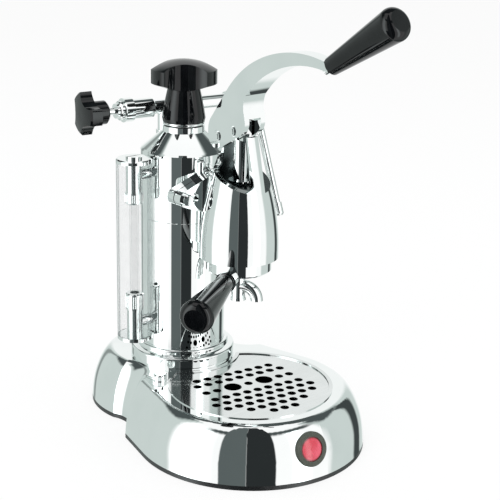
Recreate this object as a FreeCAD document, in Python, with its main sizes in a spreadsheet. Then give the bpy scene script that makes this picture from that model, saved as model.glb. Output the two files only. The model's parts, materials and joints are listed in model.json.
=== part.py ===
import FreeCAD, Part
import Sketcher
import math
import os
import re

# A manual lever espresso machine, in millimetres.
# The origin is the middle of the base's underside, +Z is up and the user stands on the -Y side.
# Every size is a cell of the sheet, and the sketches, primitives and placements are bound to the cells.

doc = FreeCAD.newDocument("espresso_machine")
sheet = doc.addObject("Spreadsheet::Sheet", "sizes")
NAMES = []
NODES = []


def cells():
    """Give each size named so far a cell of the sheet, with its name as alias."""
    for name, value in list(globals().items()):
        if name.islower() and isinstance(value, (int, float)) and name not in NAMES:
            NAMES.append(name)
            row = len(NAMES)
            sheet.set("A%d" % row, name)
            sheet.set("B%d" % row, str(value))
            sheet.setAlias("B%d" % row, name)
    doc.recompute()


def full(text):
    """Write the sheet's name before each alias of an expression."""
    return re.sub(r"[a-z_][a-z_0-9]*", lambda m: "sizes." + m[0] if m[0] in NAMES else m[0], text)


def num(text):
    """Value of an expression of aliases."""
    return float(sheet.evalExpression(text))


def bind(thing, prop, text):
    thing.setExpression(prop, full(text))


def place(thing, *steps):
    """Bind a placement: each step is (x, y, z) and, where it turns, yaw, pitch and roll in degrees."""
    parts = []
    for step in steps:
        step = tuple(step) + ("0",) * (6 - len(step))
        vector = "create(<<vector>>; %s; %s; %s)" % step[:3]
        turn = "create(<<rotation>>; %s; %s; %s)" % step[3:]
        parts.append("create(<<placement>>; %s; %s)" % (vector, turn))
    if parts:
        bind(thing, "Placement", " * ".join(parts))


def keep(thing):
    """Note a finished piece: its label is its node."""
    NODES.append(thing)
    return thing


# Sketches

def new_sketch(body, plane, offset="0"):
    support = [item for item in body.Origin.OriginFeatures if item.Role == plane][0]
    sketch = body.newObject("Sketcher::SketchObject", body.Name + "_sketch")
    sketch.AttachmentSupport = [(support, "")]
    sketch.MapMode = "FlatFace"
    bind(sketch, "AttachmentOffset.Base.z", offset)
    return sketch


def arc_between(start, end, radius):
    """Arc from start to end, its centre on the left for a positive radius and on the right otherwise."""
    chord = end - start
    half = chord.Length / 2
    rise = math.sqrt(max(radius * radius - half * half, 0))
    left = FreeCAD.Vector(-chord.y, chord.x, 0).normalize()
    centre = start + chord * 0.5 + left * math.copysign(rise, radius)
    first, last = (start, end) if radius > 0 else (end, start)
    angles = [math.atan2(p.y - centre.y, p.x - centre.x) for p in (first, last)]
    circle = Part.Circle(centre, FreeCAD.Vector(0, 0, 1), abs(radius))
    return Part.ArcOfCircle(circle, angles[0], angles[1])


def fix(sketch, kind, *where):
    """Add a size to a sketch, bound to the expression that comes last."""
    text = where[-1]
    index = sketch.addConstraint(Sketcher.Constraint(kind, *where[:-1], num(text)))
    bind(sketch, "Constraints[%d]" % index, text)


def outline(sketch, vertices):
    """Closed outline through vertices (x, y); a third value is the radius of the arc that arrives there."""
    points = [FreeCAD.Vector(num(v[0]), num(v[1]), 0) for v in vertices]
    first = sketch.GeometryCount
    ends = []
    for index, vertex in enumerate(vertices):
        start, end = points[index - 1], points[index]
        if len(vertex) == 2:
            sketch.addGeometry(Part.LineSegment(start, end), False)
            ends.append((1, 2))
        else:
            radius = num(vertex[2])
            sketch.addGeometry(arc_between(start, end, radius), False)
            ends.append((1, 2) if radius > 0 else (2, 1))
    for index, vertex in enumerate(vertices):
        after = (index + 1) % len(vertices)
        here = (first + index, ends[index][1])
        sketch.addConstraint(Sketcher.Constraint("Coincident", *here, first + after, ends[after][0]))
        fix(sketch, "DistanceX", *here, vertex[0])
        fix(sketch, "DistanceY", *here, vertex[1])
        if len(vertex) == 3:
            fix(sketch, "Radius", first + index, "abs(%s)" % vertex[2])


def circle(sketch, x, y, radius):
    centre = FreeCAD.Vector(num(x), num(y), 0)
    index = sketch.addGeometry(Part.Circle(centre, FreeCAD.Vector(0, 0, 1), num(radius)), False)
    fix(sketch, "DistanceX", index, 3, x)
    fix(sketch, "DistanceY", index, 3, y)
    fix(sketch, "Radius", index, radius)


# Pieces

def new_body(name):
    return doc.addObject("PartDesign::Body", name)


def turned(name, vertices, *steps):
    """Body turned about its own Z axis from an outline of (radius, height)."""
    body = new_body(name)
    sketch = new_sketch(body, "XZ_Plane")
    outline(sketch, vertices)
    turn = body.newObject("PartDesign::Revolution", name + "_turn")
    turn.Profile = sketch
    turn.ReferenceAxis = (sketch, ["V_Axis"])
    turn.Angle = 360
    place(body, *steps)
    return body


def ring(name, inner, outer, bottom, top, *steps):
    return turned(name, [(inner, bottom), (outer, bottom), (outer, top), (inner, top)], *steps)


def bar(name, radius, bottom, top, *steps):
    return turned(name, [("0", bottom), (radius, bottom), (radius, top), ("0", top)], *steps)


def padded(name, plane, vertices, bottom, top, *steps):
    """Body padded from an outline on one of its planes, between two heights over that plane."""
    body = new_body(name)
    sketch = new_sketch(body, plane, bottom)
    outline(sketch, vertices)
    pad = body.newObject("PartDesign::Pad", name + "_pad")
    pad.Profile = sketch
    bind(pad, "Length", "(%s) - (%s)" % (top, bottom))
    place(body, *steps)
    return body


def cylinder(name, radius, height, *steps):
    thing = doc.addObject("Part::Cylinder", name)
    bind(thing, "Radius", radius)
    bind(thing, "Height", height)
    place(thing, *steps)
    return thing


def box(name, length, width, height, *steps):
    thing = doc.addObject("Part::Box", name)
    bind(thing, "Length", length)
    bind(thing, "Width", width)
    bind(thing, "Height", height)
    place(thing, *steps)
    return thing


def fuse(name, *things):
    thing = doc.addObject("Part::MultiFuse", name)
    thing.Shapes = list(things)
    thing.Refine = True
    return thing


def cut(name, base, *tools):
    thing = doc.addObject("Part::Cut", name)
    thing.Base = base
    thing.Tool = tools[0] if len(tools) == 1 else fuse(name + "_tools", *tools)
    thing.Refine = True
    return thing


def common(name, *things):
    thing = doc.addObject("Part::MultiCommon", name)
    thing.Shapes = list(things)
    thing.Refine = True
    return thing


def group(name, *things):
    """Like pieces that stay separate solids of one node."""
    thing = doc.addObject("Part::Compound", name)
    thing.Links = list(things)
    return thing


# Base: a low case with a violin's plan, on a flat plate

front_y = -44
front_radius = 100
front_side = 14
corner_y = 21.4
rear_y = 72
rear_radius = 72
rear_corner = 8
waist_radius = 29
plate_height = 4
deck_height = 50
deck_inset = 20
wall_power = 1.7
base_wall = 2
boiler_y = 52
group_y = -25.4

cells()
WALL_LEVELS = (0, 0.35, 0.62, 0.82, 0.95, 1)


def inset_at(level):
    """How far the wall has come in at a level between the plate and the deck."""
    return "deck_inset * (1 - (1 - %s ^ wall_power) ^ (1 / wall_power))" % level


def violin(inset):
    """Plan of the base: a round front with straight sides, a hollow waist between corners, a round rear."""
    front = "(front_radius - (%s))" % inset
    rear = "(rear_radius - (%s))" % inset
    side_x = front + " * cos(front_side)"
    side_y = "front_y + %s * sin(front_side)" % front
    corner_x = "(%s - (corner_y - (%s)) * tan(front_side))" % (side_x, side_y)
    rear_x = rear + " * cos(rear_corner)"
    rear_end = "rear_y - %s * sin(rear_corner)" % rear
    return [
        ("0", "front_y - " + front, front),
        (side_x, side_y, front),
        (corner_x, "corner_y"),
        (rear_x, rear_end, "-waist_radius"),
        ("0", "rear_y + " + rear, rear),
        ("-" + rear_x, rear_end, rear),
        ("-" + corner_x, "corner_y", "-waist_radius"),
        ("-" + side_x, side_y),
    ]


def base_loft(name, wall):
    """Solid that fills the base, less a wall thickness at the sides and the top."""
    body = new_body(name)
    sketches = []
    for level in WALL_LEVELS:
        height = "plate_height + %s * (deck_height - (%s) - plate_height)" % (level, wall)
        sketches.append(new_sketch(body, "XY_Plane", height))
        outline(sketches[-1], violin("%s + %s" % (inset_at(level), wall)))
    loft = body.newObject("PartDesign::AdditiveLoft", name + "_loft")
    loft.Profile = sketches[0]
    loft.Sections = sketches[1:]
    return body


def moon(name, radius, bite, bottom, top):
    """Round plate about the front lobe's axis, less a round bite about the boiler's axis."""
    end = "((%s)^2 - (%s)^2 + boiler_y^2 - front_y^2) / (2 * (boiler_y - front_y))" % (radius, bite)
    side = "sqrt((%s)^2 - (%s - front_y)^2)" % (radius, end)
    shape = [
        ("0", "front_y - (%s)" % radius, radius),
        (side, end, radius),
        ("-" + side, end, "-(%s)" % bite),
    ]
    return padded(name, "XY_Plane", shape, bottom, top)


foot_radius = 9
foot_height = 2.5
foot_fit = 0.05
foot_front_x = 60
foot_front_y = -92
foot_rear_x = 36
foot_rear_y = 104
post_radius = 6
post_height = 30
post_front_x = 89
post_rear_x = 41.5
post_rear_y = 116
screw_radius = 2
screw_head = 3.6
screw_sink = 0.6
screw_head_height = 2
screw_length = 12
screw_fit = 0.05

cells()
FEET = [(side + "foot_front_x", "foot_front_y") for side in ("", "-")]
FEET += [(side + "foot_rear_x", "foot_rear_y") for side in ("", "-")]
POSTS = [(side + "post_front_x", "front_y") for side in ("", "-")]
POSTS += [(side + "post_rear_x", "post_rear_y") for side in ("", "-")]


def screw_outline(fit):
    """Screw under the plate: its head is let in, and its shank goes up into a post."""
    neck = "screw_sink + screw_head_height"
    return [
        ("0", "screw_sink"),
        ("screw_head + " + fit, "screw_sink"),
        ("screw_head + " + fit, neck),
        ("screw_radius + " + fit, neck),
        ("screw_radius + " + fit, neck + " + screw_length"),
        ("0", neck + " + screw_length"),
    ]


def base_underside():
    """Bottom plate, the feet let into it and the screws that hold it."""
    plate = padded("base_plate_blank", "XY_Plane", violin("0"), "0", "plate_height")
    tools = []
    feet = []
    screws = []
    for index, (x, y) in enumerate(FEET):
        feet.append(cylinder("foot_%d" % index, "foot_radius", "foot_height", (x, y, "0")))
        tools.append(cylinder("foot_seat_%d" % index, "foot_radius + foot_fit", "foot_height", (x, y, "0")))
    for index, (x, y) in enumerate(POSTS):
        screws.append(turned("screw_%d" % index, screw_outline("0"), (x, y, "0")))
        tools.append(turned("screw_way_%d" % index, screw_outline("screw_fit"), (x, y, "0")))
        mouth = cylinder("screw_mouth_%d" % index, "screw_head + screw_fit", "screw_sink", (x, y, "0"))
        tools.append(mouth)
    keep(cut("base_plate", plate, *tools))
    keep(group("base_feet", *feet))
    keep(group("base_screws", *screws))


tray_radius = 69.5
tray_bite = 51
tray_rim = 71.5
tray_rim_bite = 49
tray_rim_height = 0.8
tray_gap = 0.4
pan_radius = 66.5
pan_bite = 53.5
pan_bottom = 26
pan_wall = 1.5
seat_drop = 2
seat_radius = 68.3
seat_bite = 52.5
seat_step = 1.5
grille_radius = 68
grille_bite = 52.8
grille_height = 1.8
hole_radius = 3.75
hole_pitch = 10.6
hole_row = 10.5
hole_gap = 15
hole_turn = -8.5
hole_y = -41.5
finger_radius = 7.7
finger_x = 16

cells()


# Columns of small holes in each row of the grille, counted from the middle row towards the boiler
HOLE_ROWS = {
    2: [-3.5, -2.5, -1.5, -0.5, 0.5, 1.5, 2.5, 3.5],
    1: range(-4, 5),
    0: [-4, -3, 0, 3, 4],
    -1: range(-4, 5),
    -2: [-4.5, -3.5, -2.5, -1.5, -0.5, 0.5, 1.5, 2.5, 3.5, 4.5],
    -3: range(-4, 5),
    -4: [-2.5, -1.5, -0.5, 0.5, 1.5, 2.5],
    -5: range(-1, 2),
}


def hole_place(across, along):
    """Place of a hole on the grille, whose rows are turned a little about its middle."""
    x = "(%s) * cos(hole_turn) - (%s) * sin(hole_turn)" % (across, along)
    y = "hole_y + (%s) * sin(hole_turn) + (%s) * cos(hole_turn)" % (across, along)
    return x, y


def drip_parts():
    """Tray that hangs in the deck by its rim, and the grille on a step inside it."""
    step = "deck_height - seat_drop"
    under = step + " - seat_step"
    top = step + " + grille_height"
    rim = moon("tray_rim_blank", "tray_rim", "tray_rim_bite", "deck_height", "deck_height + tray_rim_height")
    upper = moon("tray_upper", "tray_radius", "tray_bite", under, "deck_height")
    pan = moon("tray_pan", "pan_radius", "pan_bite", "pan_bottom", under)
    seat = moon("tray_seat", "seat_radius", "seat_bite", step, "deck_height + tray_rim_height")
    basin_bottom = "pan_bottom + pan_wall"
    basin = moon("tray_basin", "pan_radius - pan_wall", "pan_bite + pan_wall", basin_bottom, step)
    keep(cut("drip_tray", fuse("tray_solid", rim, upper, pan), seat, basin))

    grille = moon("drip_grille", "grille_radius", "grille_bite", step, top)
    holes = new_sketch(grille, "XY_Plane", top)
    for side in ("", "-"):
        circle(holes, *hole_place(side + "finger_x", "0"), "finger_radius")
    for row, columns in HOLE_ROWS.items():
        out = "%d * (hole_gap + %d * hole_row)" % (math.copysign(1, row), abs(row) - 1) if row else "0"
        for column in columns:
            circle(holes, *hole_place("%.1f * hole_pitch" % column, out), "hole_radius")
    pocket = grille.newObject("PartDesign::Pocket", "grille_holes")
    pocket.Profile = holes
    pocket.Type = "ThroughAll"
    keep(grille)


button_turn = -9
button_tilt = 17.4
button_out = 95.15
button_z = 29
bezel_radius = 14.5
bezel_seat = 1.35
bezel_lip = 1.9
bezel_edge = 0.8
bezel_hole = 10.2
bezel_neck = 12
bezel_depth = 8
button_radius = 10.1
button_back = 7.5
button_rim = 1.2
button_crown = 40
button_front = 2.4
switch_radius = 11.3
switch_depth = 17
wall_hole_gap = 0.1
dome_flat = 1.5

cells()


def button_place():
    """Steps to the switch's axis: out from the lobe's axis, turned to the wall and tilted with it."""
    turn = "button_turn"
    return [
        ("button_out * sin(button_turn)", "front_y - button_out * cos(button_turn)", "button_z", turn),
        ("0", "0", "0", "0", "0", "90 - button_tilt"),
    ]


def switch_parts():
    """Bezel, button and switch in the front wall, turned about an axis that leaves the wall squarely."""
    where = button_place()
    seat = "-bezel_seat"
    bezel = [
        ("bezel_hole", "-bezel_depth"),
        ("bezel_neck", "-bezel_depth"),
        ("bezel_neck", seat),
        ("bezel_radius", seat),
        ("bezel_radius", "bezel_lip - bezel_edge"),
        ("bezel_radius - bezel_edge", "bezel_lip"),
        ("bezel_hole", "bezel_lip"),
    ]
    keep(turned("button_bezel", bezel, *where))
    button = [
        ("0", "-button_back"),
        ("button_radius", "-button_back"),
        ("button_radius", "button_rim"),
        ("dome_flat", "button_front", "button_crown"),
        ("0", "button_front"),
    ]
    keep(turned("power_button", button, *where))
    back = "-bezel_depth - switch_depth"
    switch = [
        ("0", back),
        ("switch_radius", back),
        ("switch_radius", "-bezel_depth"),
        ("bezel_hole", "-bezel_depth"),
        ("bezel_hole", "-bezel_depth - button_back"),
        ("0", "-bezel_depth - button_back"),
    ]
    keep(turned("switch_body", switch, *where))


inlet_half = 15
inlet_bottom = 10
inlet_height = 24
inlet_back = 142
inlet_depth = 26
inlet_wall = 2.5
inlet_floor = 4
inlet_gap = 0.1
pin_half = 1
pin_height = 4
pin_length = 14
pin_step = 7
pin_drop = 4
deck_screw_x = -55.5
deck_screw_y = 12.5
deck_screw_head = 6
deck_screw_height = 5.5
deck_screw_edge = 1
deck_screw_radius = 2.5
deck_screw_depth = 8
deck_screw_fit = 0.05

cells()


def inlet_parts():
    """Mains inlet in the rear wall: an open socket with three flat pins."""
    front = "inlet_back - inlet_depth"
    low = ("-inlet_half", front, "inlet_bottom")
    shell = box("inlet_blank", "2 * inlet_half", "inlet_depth", "inlet_height", low)
    mouth = box(
        "inlet_mouth", "2 * (inlet_half - inlet_wall)", "inlet_depth - inlet_floor",
        "inlet_height - 2 * inlet_wall",
        ("inlet_wall - inlet_half", front + " + inlet_floor", "inlet_bottom + inlet_wall"),
    )
    keep(cut("cord_inlet", shell, mouth))
    pins = []
    middle = "inlet_bottom + inlet_height / 2 - pin_height / 2"
    for index, (x, z) in enumerate([("-pin_step", "0"), ("0", "pin_drop"), ("pin_step", "0")]):
        corner = (x + " - pin_half", front + " + inlet_floor", middle + " - " + z)
        pins.append(box("inlet_pin_%d" % index, "2 * pin_half", "pin_length", "pin_height", corner))
    keep(group("inlet_pins", *pins))


def deck_screw():
    """Knurled screw that holds the case down beside the boiler."""
    top = "deck_height + deck_screw_height"
    shape = [
        ("0", "deck_height - deck_screw_depth"),
        ("deck_screw_radius", "deck_height - deck_screw_depth"),
        ("deck_screw_radius", "deck_height"),
        ("deck_screw_head", "deck_height"),
        ("deck_screw_head", top + " - deck_screw_edge"),
        ("deck_screw_head - deck_screw_edge", top),
        ("0", top),
    ]
    keep(turned("deck_screw", shape, ("deck_screw_x", "deck_screw_y", "0")))


boiler_radius = 37.8
boiler_wall = 2
boiler_gap = 0.3
over = 1

cells()


def base_shell():
    """Case of the base: open below, with ways for the tray, boiler, switch, inlet and screws."""
    where = button_place()
    top = "deck_height + over"
    tray_way = moon("tray_way", "tray_radius + tray_gap", "tray_bite - tray_gap", "pan_bottom", top)
    boiler_way = cylinder("boiler_way", "boiler_radius + boiler_gap", top, ("0", "boiler_y", "0"))
    switch_way = [
        ("0", "-bezel_depth - base_wall"),
        ("bezel_neck + wall_hole_gap", "-bezel_depth - base_wall"),
        ("bezel_neck + wall_hole_gap", "-bezel_seat"),
        ("bezel_radius + wall_hole_gap", "-bezel_seat"),
        ("bezel_radius + wall_hole_gap", "bezel_depth"),
        ("0", "bezel_depth"),
    ]
    inlet_way = box(
        "inlet_way", "2 * (inlet_half + inlet_gap)", "2 * inlet_depth", "inlet_height + 2 * inlet_gap",
        ("-inlet_half - inlet_gap", "inlet_back - inlet_depth", "inlet_bottom - inlet_gap"),
    )
    screw_way = cylinder(
        "deck_screw_way", "deck_screw_radius + deck_screw_fit", "2 * deck_screw_depth",
        ("deck_screw_x", "deck_screw_y", "deck_height - deck_screw_depth"),
    )
    hollow = base_loft("base_hollow", "base_wall")
    case = cut("base_case", base_loft("base_solid", "0"), hollow)
    posts = []
    ways = []
    for index, (x, y) in enumerate(POSTS):
        foot = (x, y, "plate_height")
        posts.append(cylinder("post_%d" % index, "post_radius", "post_height - plate_height", foot))
        ways.append(turned("post_way_%d" % index, screw_outline("screw_fit"), (x, y, "0")))
    full_case = fuse("base_with_posts", case, *posts)
    switch = turned("switch_way", switch_way, *where)
    keep(cut("base_shell", full_case, tray_way, boiler_way, switch, inlet_way, screw_way, *ways))


# Boiler: a tall tube through the deck, with a conical head

collar_radius = 47
collar_foot = 2
collar_recess = 1.5
collar_fit = 0.1
collar_edge = 2
collar_step = 7
collar_neck = 41.5
collar_lip = 1
collar_neck_height = 4.5
boiler_bottom = 36
boiler_floor = 3
seam_height = 183.5
seam_groove = 0.6
element_port = 16
nut_radius = 43
nut_height = 8
nut_fit = 0.05
port_radius = 5
port_fit = 0.03
lower_port_z = 91

cells()


def boiler_tube_parts():
    """Lower boiler tube, the collar on the deck and the nut below it."""
    axis = ("0", "boiler_y", "0")
    bore = "boiler_radius + collar_fit"
    foot = "deck_height + collar_foot"
    step = foot + " + collar_step"
    top = step + " + collar_edge + collar_lip + collar_neck_height"
    collar = [
        (bore, "deck_height"),
        ("collar_radius - collar_recess", "deck_height"),
        ("collar_radius - collar_recess", foot),
        ("collar_radius", foot),
        ("collar_radius", step),
        ("collar_radius - collar_edge", step + " + collar_edge", "collar_edge"),
        ("collar_neck", step + " + collar_edge + collar_lip"),
        ("collar_neck", top + " - collar_edge"),
        ("collar_neck - collar_edge", top, "collar_edge"),
        (bore, top),
    ]
    keep(turned("boiler_collar", collar, axis))
    inner = "boiler_radius - boiler_wall"
    tube = [
        ("element_port", "boiler_bottom"),
        ("boiler_radius", "boiler_bottom"),
        ("boiler_radius", "seam_height - seam_groove"),
        ("boiler_radius - seam_groove", "seam_height"),
        (inner, "seam_height"),
        (inner, "boiler_bottom + boiler_floor"),
        ("element_port", "boiler_bottom + boiler_floor"),
    ]
    way = cylinder(
        "lower_port_way", "port_radius + port_fit", "boiler_radius + over",
        ("0", "boiler_y", "lower_port_z", "0", "-90"),
    )
    keep(cut("boiler_tube", turned("boiler_tube_blank", tube, axis), way))
    under = "deck_height - base_wall"
    keep(ring("boiler_nut", "boiler_radius + nut_fit", "nut_radius", under + " - nut_height", under, axis))


flange_radius = 19
flange_height = 10
flange_fit = 0.05
gasket_height = 2
flange_top = 4
rod_radius = 3.5
rod_x = 11
rod_rise = 62
thermostat_radius = 9
thermostat_height = 6

cells()


def element_parts():
    """Heating element screwed into the boiler's floor, with its gasket and thermostat."""
    axis = ("0", "boiler_y", "0")
    seat = "boiler_bottom - gasket_height"
    top = "boiler_bottom + flange_top"
    spigot = "element_port - flange_fit"
    flange = [
        ("0", seat + " - flange_height"),
        ("flange_radius", seat + " - flange_height"),
        ("flange_radius", seat),
        (spigot, seat),
        (spigot, top),
        ("0", top),
    ]
    keep(turned("element_flange", flange, axis))
    keep(ring("element_gasket", "element_port", "flange_radius", seat, "boiler_bottom", axis))
    legs = []
    for index, x in enumerate(("rod_x", "-rod_x")):
        legs.append(cylinder("element_leg_%d" % index, "rod_radius", "rod_rise", (x, "boiler_y", top)))
    bend = doc.addObject("Part::Torus", "element_bend")
    bind(bend, "Radius1", "rod_x")
    bind(bend, "Radius2", "rod_radius")
    bend.Angle3 = 180
    place(bend, ("0", "boiler_y", top + " + rod_rise", "0", "0", "90"))
    keep(fuse("heating_element", bend, *legs))
    bottom = seat + " - flange_height"
    low = ("0", "boiler_y", bottom + " - thermostat_height")
    keep(cylinder("thermostat", "thermostat_radius", "thermostat_height", low))


rim_height = 243.5
rim_edge = 1.5
cone_height = 14.5
cone_radius = 19
neck_radius = 18.6
neck_height = 5
neck_bore = 12.5
cone_wall = 3
upper_port_drop = 18.5
boss_y = 27
boss_radius = 8
boss_low = 3.5
boss_high = 10.5
boss_bore = 2.5
riser_radius = 6.5
riser_gap = 0.3
pad_z = 213
pad_y = 44
pad_height = 8
pad_radius = 20
ear_radius = 7
ear_x = 38
pad_bore = 4
gasket_thick = 1
bolt_radius = 3
bolt_fit = 0.05
pad_neck = 18
plug_x = -12
plug_boss = 3.9
plug_boss_low = 222
plug_seat = 232
plug_head = 3.6
plug_high = 8
plug_edge = 1
plug_shank = 2
plug_depth = 6

cells()
CONE_TOP = "rim_height + cone_height"
NECK_TOP = CONE_TOP + " + neck_height"
UPPER_PORT = "rim_height - upper_port_drop"


def ear_plate(name, start, thick, bore):
    """Oval plate across the front of the boiler, with an ear and a bolt hole on each side."""
    slope = "(pad_radius - ear_radius) / ear_x"
    rise = "sqrt(1 - ((pad_radius - ear_radius) / ear_x)^2)"
    ear_end = "ear_x + ear_radius * " + slope
    ear_up = "ear_radius * " + rise
    middle = "pad_radius * " + slope
    up = "pad_radius * " + rise
    shape = [
        (middle, "-" + up, "pad_radius"),
        (ear_end, "-" + ear_up),
        (ear_end, ear_up, "ear_radius"),
        (middle, up),
        ("-" + middle, up, "pad_radius"),
        ("-(%s)" % ear_end, ear_up),
        ("-(%s)" % ear_end, "-" + ear_up, "ear_radius"),
        ("-" + middle, "-" + up),
    ]
    plate = padded(name + "_blank", "XY_Plane", shape, "0", thick, ("0", start, "pad_z", "0", "0", "90"))
    ways = [cylinder(name + "_bore", bore, thick, ("0", start, "pad_z", "0", "0", "90"))]
    for index, x in enumerate(("ear_x", "-ear_x")):
        where = (x, start, "pad_z", "0", "0", "90")
        ways.append(cylinder(name + "_bolt_way_%d" % index, "bolt_radius + bolt_fit", thick, where))
    return cut(name, plate, *ways)


def boiler_head():
    """Upper boiler: tube, cone and filler neck, with a boss for the valve and a plate for the group."""
    axis = ("0", "boiler_y", "0")
    inner = "boiler_radius - boiler_wall"
    shape = [
        (inner, "seam_height"),
        ("boiler_radius", "seam_height"),
        ("boiler_radius", "rim_height - rim_edge"),
        ("boiler_radius - rim_edge", "rim_height"),
        ("cone_radius", CONE_TOP),
        ("neck_radius", CONE_TOP),
        ("neck_radius", NECK_TOP),
        ("neck_bore", NECK_TOP),
        ("neck_bore", CONE_TOP + " - cone_wall"),
        ("cone_radius", CONE_TOP + " - cone_wall"),
        (inner, "rim_height - cone_wall"),
    ]
    head = turned("head_blank", shape, axis)
    boss_place = ("0", "boiler_y + boss_y", "rim_height + boss_low")
    boss = cylinder("valve_boss", "boss_radius", "boss_high - boss_low", boss_place)
    riser_way = cylinder(
        "valve_riser_seat", "riser_radius + riser_gap", "cone_height - boss_high",
        ("0", "boiler_y + boss_y", "rim_height + boss_high"),
    )
    boss_way = cylinder("valve_boss_way", "boss_bore", "2 * (boss_high - boss_low)", boss_place)
    pad_axis = ("0", "boiler_y", "pad_z", "0", "0", "90")
    neck = cylinder("pad_neck_bar", "pad_neck", "pad_y - pad_height", pad_axis)
    core = cylinder("pad_neck_core", inner, "rim_height - seam_height", ("0", "boiler_y", "seam_height"))
    plate = ear_plate("boiler_pad", "boiler_y - pad_y + pad_height", "pad_height", "pad_bore")
    water = cylinder("pad_water_way", "pad_bore", "pad_y", pad_axis)
    port_place = ("0", "boiler_y", UPPER_PORT, "0", "-90")
    port = cylinder("upper_port_way", "port_radius + port_fit", "boiler_radius + over", port_place)
    plug_y = "boiler_y - pad_y + pad_height / 2"
    plug_low = ("plug_x", plug_y, "plug_boss_low")
    plug_boss = cylinder("plug_boss_bar", "plug_boss", "plug_seat - plug_boss_low", plug_low)
    plug_way = cylinder("plug_way", "plug_shank", "plug_depth", ("plug_x", plug_y, "plug_seat - plug_depth"))
    whole = fuse("head_whole", head, boss, cut("pad_neck_outer", neck, core), plate, plug_boss)
    keep(cut("boiler_head", whole, boss_way, riser_way, water, port, plug_way))
    plug = [
        ("0", "plug_seat - plug_depth"),
        ("plug_shank", "plug_seat - plug_depth"),
        ("plug_shank", "plug_seat"),
        ("plug_head", "plug_seat"),
        ("plug_head", "plug_seat + plug_high - plug_edge"),
        ("plug_head - plug_edge", "plug_seat + plug_high"),
        ("0", "plug_seat + plug_high"),
    ]
    keep(turned("neck_plug", plug, ("plug_x", plug_y, "0")))
    keep(ear_plate("group_gasket", "boiler_y - pad_y", "gasket_thick", "pad_bore"))


# Filler cap: a black mushroom knob on a threaded plug

cap_gasket_height = 1
cap_gasket_inner = 13
cap_gasket_inset = 1.2
plug_radius = 12.4
plug_length = 18
plug_flange = 18.4
plug_flange_height = 2.2
stud_radius = 5.5
stud_height = 18
stud_fit = 0.02
stem_bottom = 18.4
stem_edge = 3.2
stem_wide = 19.1
stem_top = 14.2
stem_curve = 300
cap_under = 30.5
cap_low = 36
cap_side = 48
cap_height = 56
disc_curve = 60
cap_radius = 29
cap_waist = 15.2
scallop_radius = 27
scallop_first = -124.5

cells()
SCALLOPS = 3


def scallops(name, waist, radius, first, bottom, top, *steps):
    """Round bars that cut three wide scallops into a knob's rim, down to a waist."""
    bars = []
    for index in range(SCALLOPS):
        turn = "%s + %g" % (first, 360 * index / SCALLOPS)
        where = list(steps) + [("0", "0", bottom, turn), ("%s + %s" % (waist, radius), "0", "0")]
        bars.append(cylinder("%s_%d" % (name, index), radius, "(%s) - (%s)" % (top, bottom), *where))
    return bars


def cap_parts():
    axis = ("0", "boiler_y", "0")
    seat = NECK_TOP + " + cap_gasket_height"
    knob_bottom = seat + " + plug_flange_height"
    under = seat + " + cap_under"
    top = seat + " + cap_height"
    keep(ring("cap_gasket", "cap_gasket_inner", "plug_flange - cap_gasket_inset", NECK_TOP, seat, axis))
    plug = [
        ("0", seat + " - plug_length"),
        ("plug_radius", seat + " - plug_length"),
        ("plug_radius", seat),
        ("plug_flange", seat),
        ("plug_flange", knob_bottom),
        ("stud_radius", knob_bottom),
        ("stud_radius", knob_bottom + " + stud_height"),
        ("0", knob_bottom + " + stud_height"),
    ]
    keep(turned("cap_plug", plug, axis))
    stud_way = "stud_radius + stud_fit"
    knob = [
        (stud_way, knob_bottom),
        ("stem_bottom", knob_bottom),
        ("stem_wide", knob_bottom + " + stem_edge"),
        ("stem_top", under, "stem_curve"),
        ("cap_radius", seat + " + cap_low"),
        ("cap_radius", seat + " + cap_side"),
        ("dome_flat", top, "disc_curve"),
        ("0", top),
        ("0", knob_bottom + " + stud_height"),
        (stud_way, knob_bottom + " + stud_height"),
    ]
    bars = scallops("cap_bar", "cap_waist", "scallop_radius", "scallop_first", under, top, axis)
    keep(cut("boiler_cap", turned("cap_blank", knob, axis), *bars))


# Steam valve: a level body behind the cap, a knob on one end and a wand on the other

valve_yaw = -8.4
valve_rise = 31
valve_left = -42
valve_end = 8
valve_step = -14
valve_right = 62
valve_big = 10.5
valve_wide = 8.7
valve_thin = 6
valve_bore = 3.2
gland_radius = 8.4
gland_small = 6.5
gland_length = 4.5
gland_neck = 2.5
gland_edge = 1
gland_bore = 3.05
spindle_radius = 3
spindle_left = -72
spindle_right = -8
spindle_tip = 3
hub_right = -58
hub_radius = 10.3
hub_edge = 1.5
disc_right = -70
disc_left = -82.2
knob_radius = 19.1
knob_waist = 10.6
knob_scallop = 18
knob_first = 90
knob_curve = 75
knob_edge = 1.5
knob_fit = 0.03

cells()


def valve_place():
    """Steps to the valve's axis, which runs level through the riser."""
    return [("0", "boiler_y + boss_y", "rim_height + valve_rise", "valve_yaw", "90")]


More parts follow.
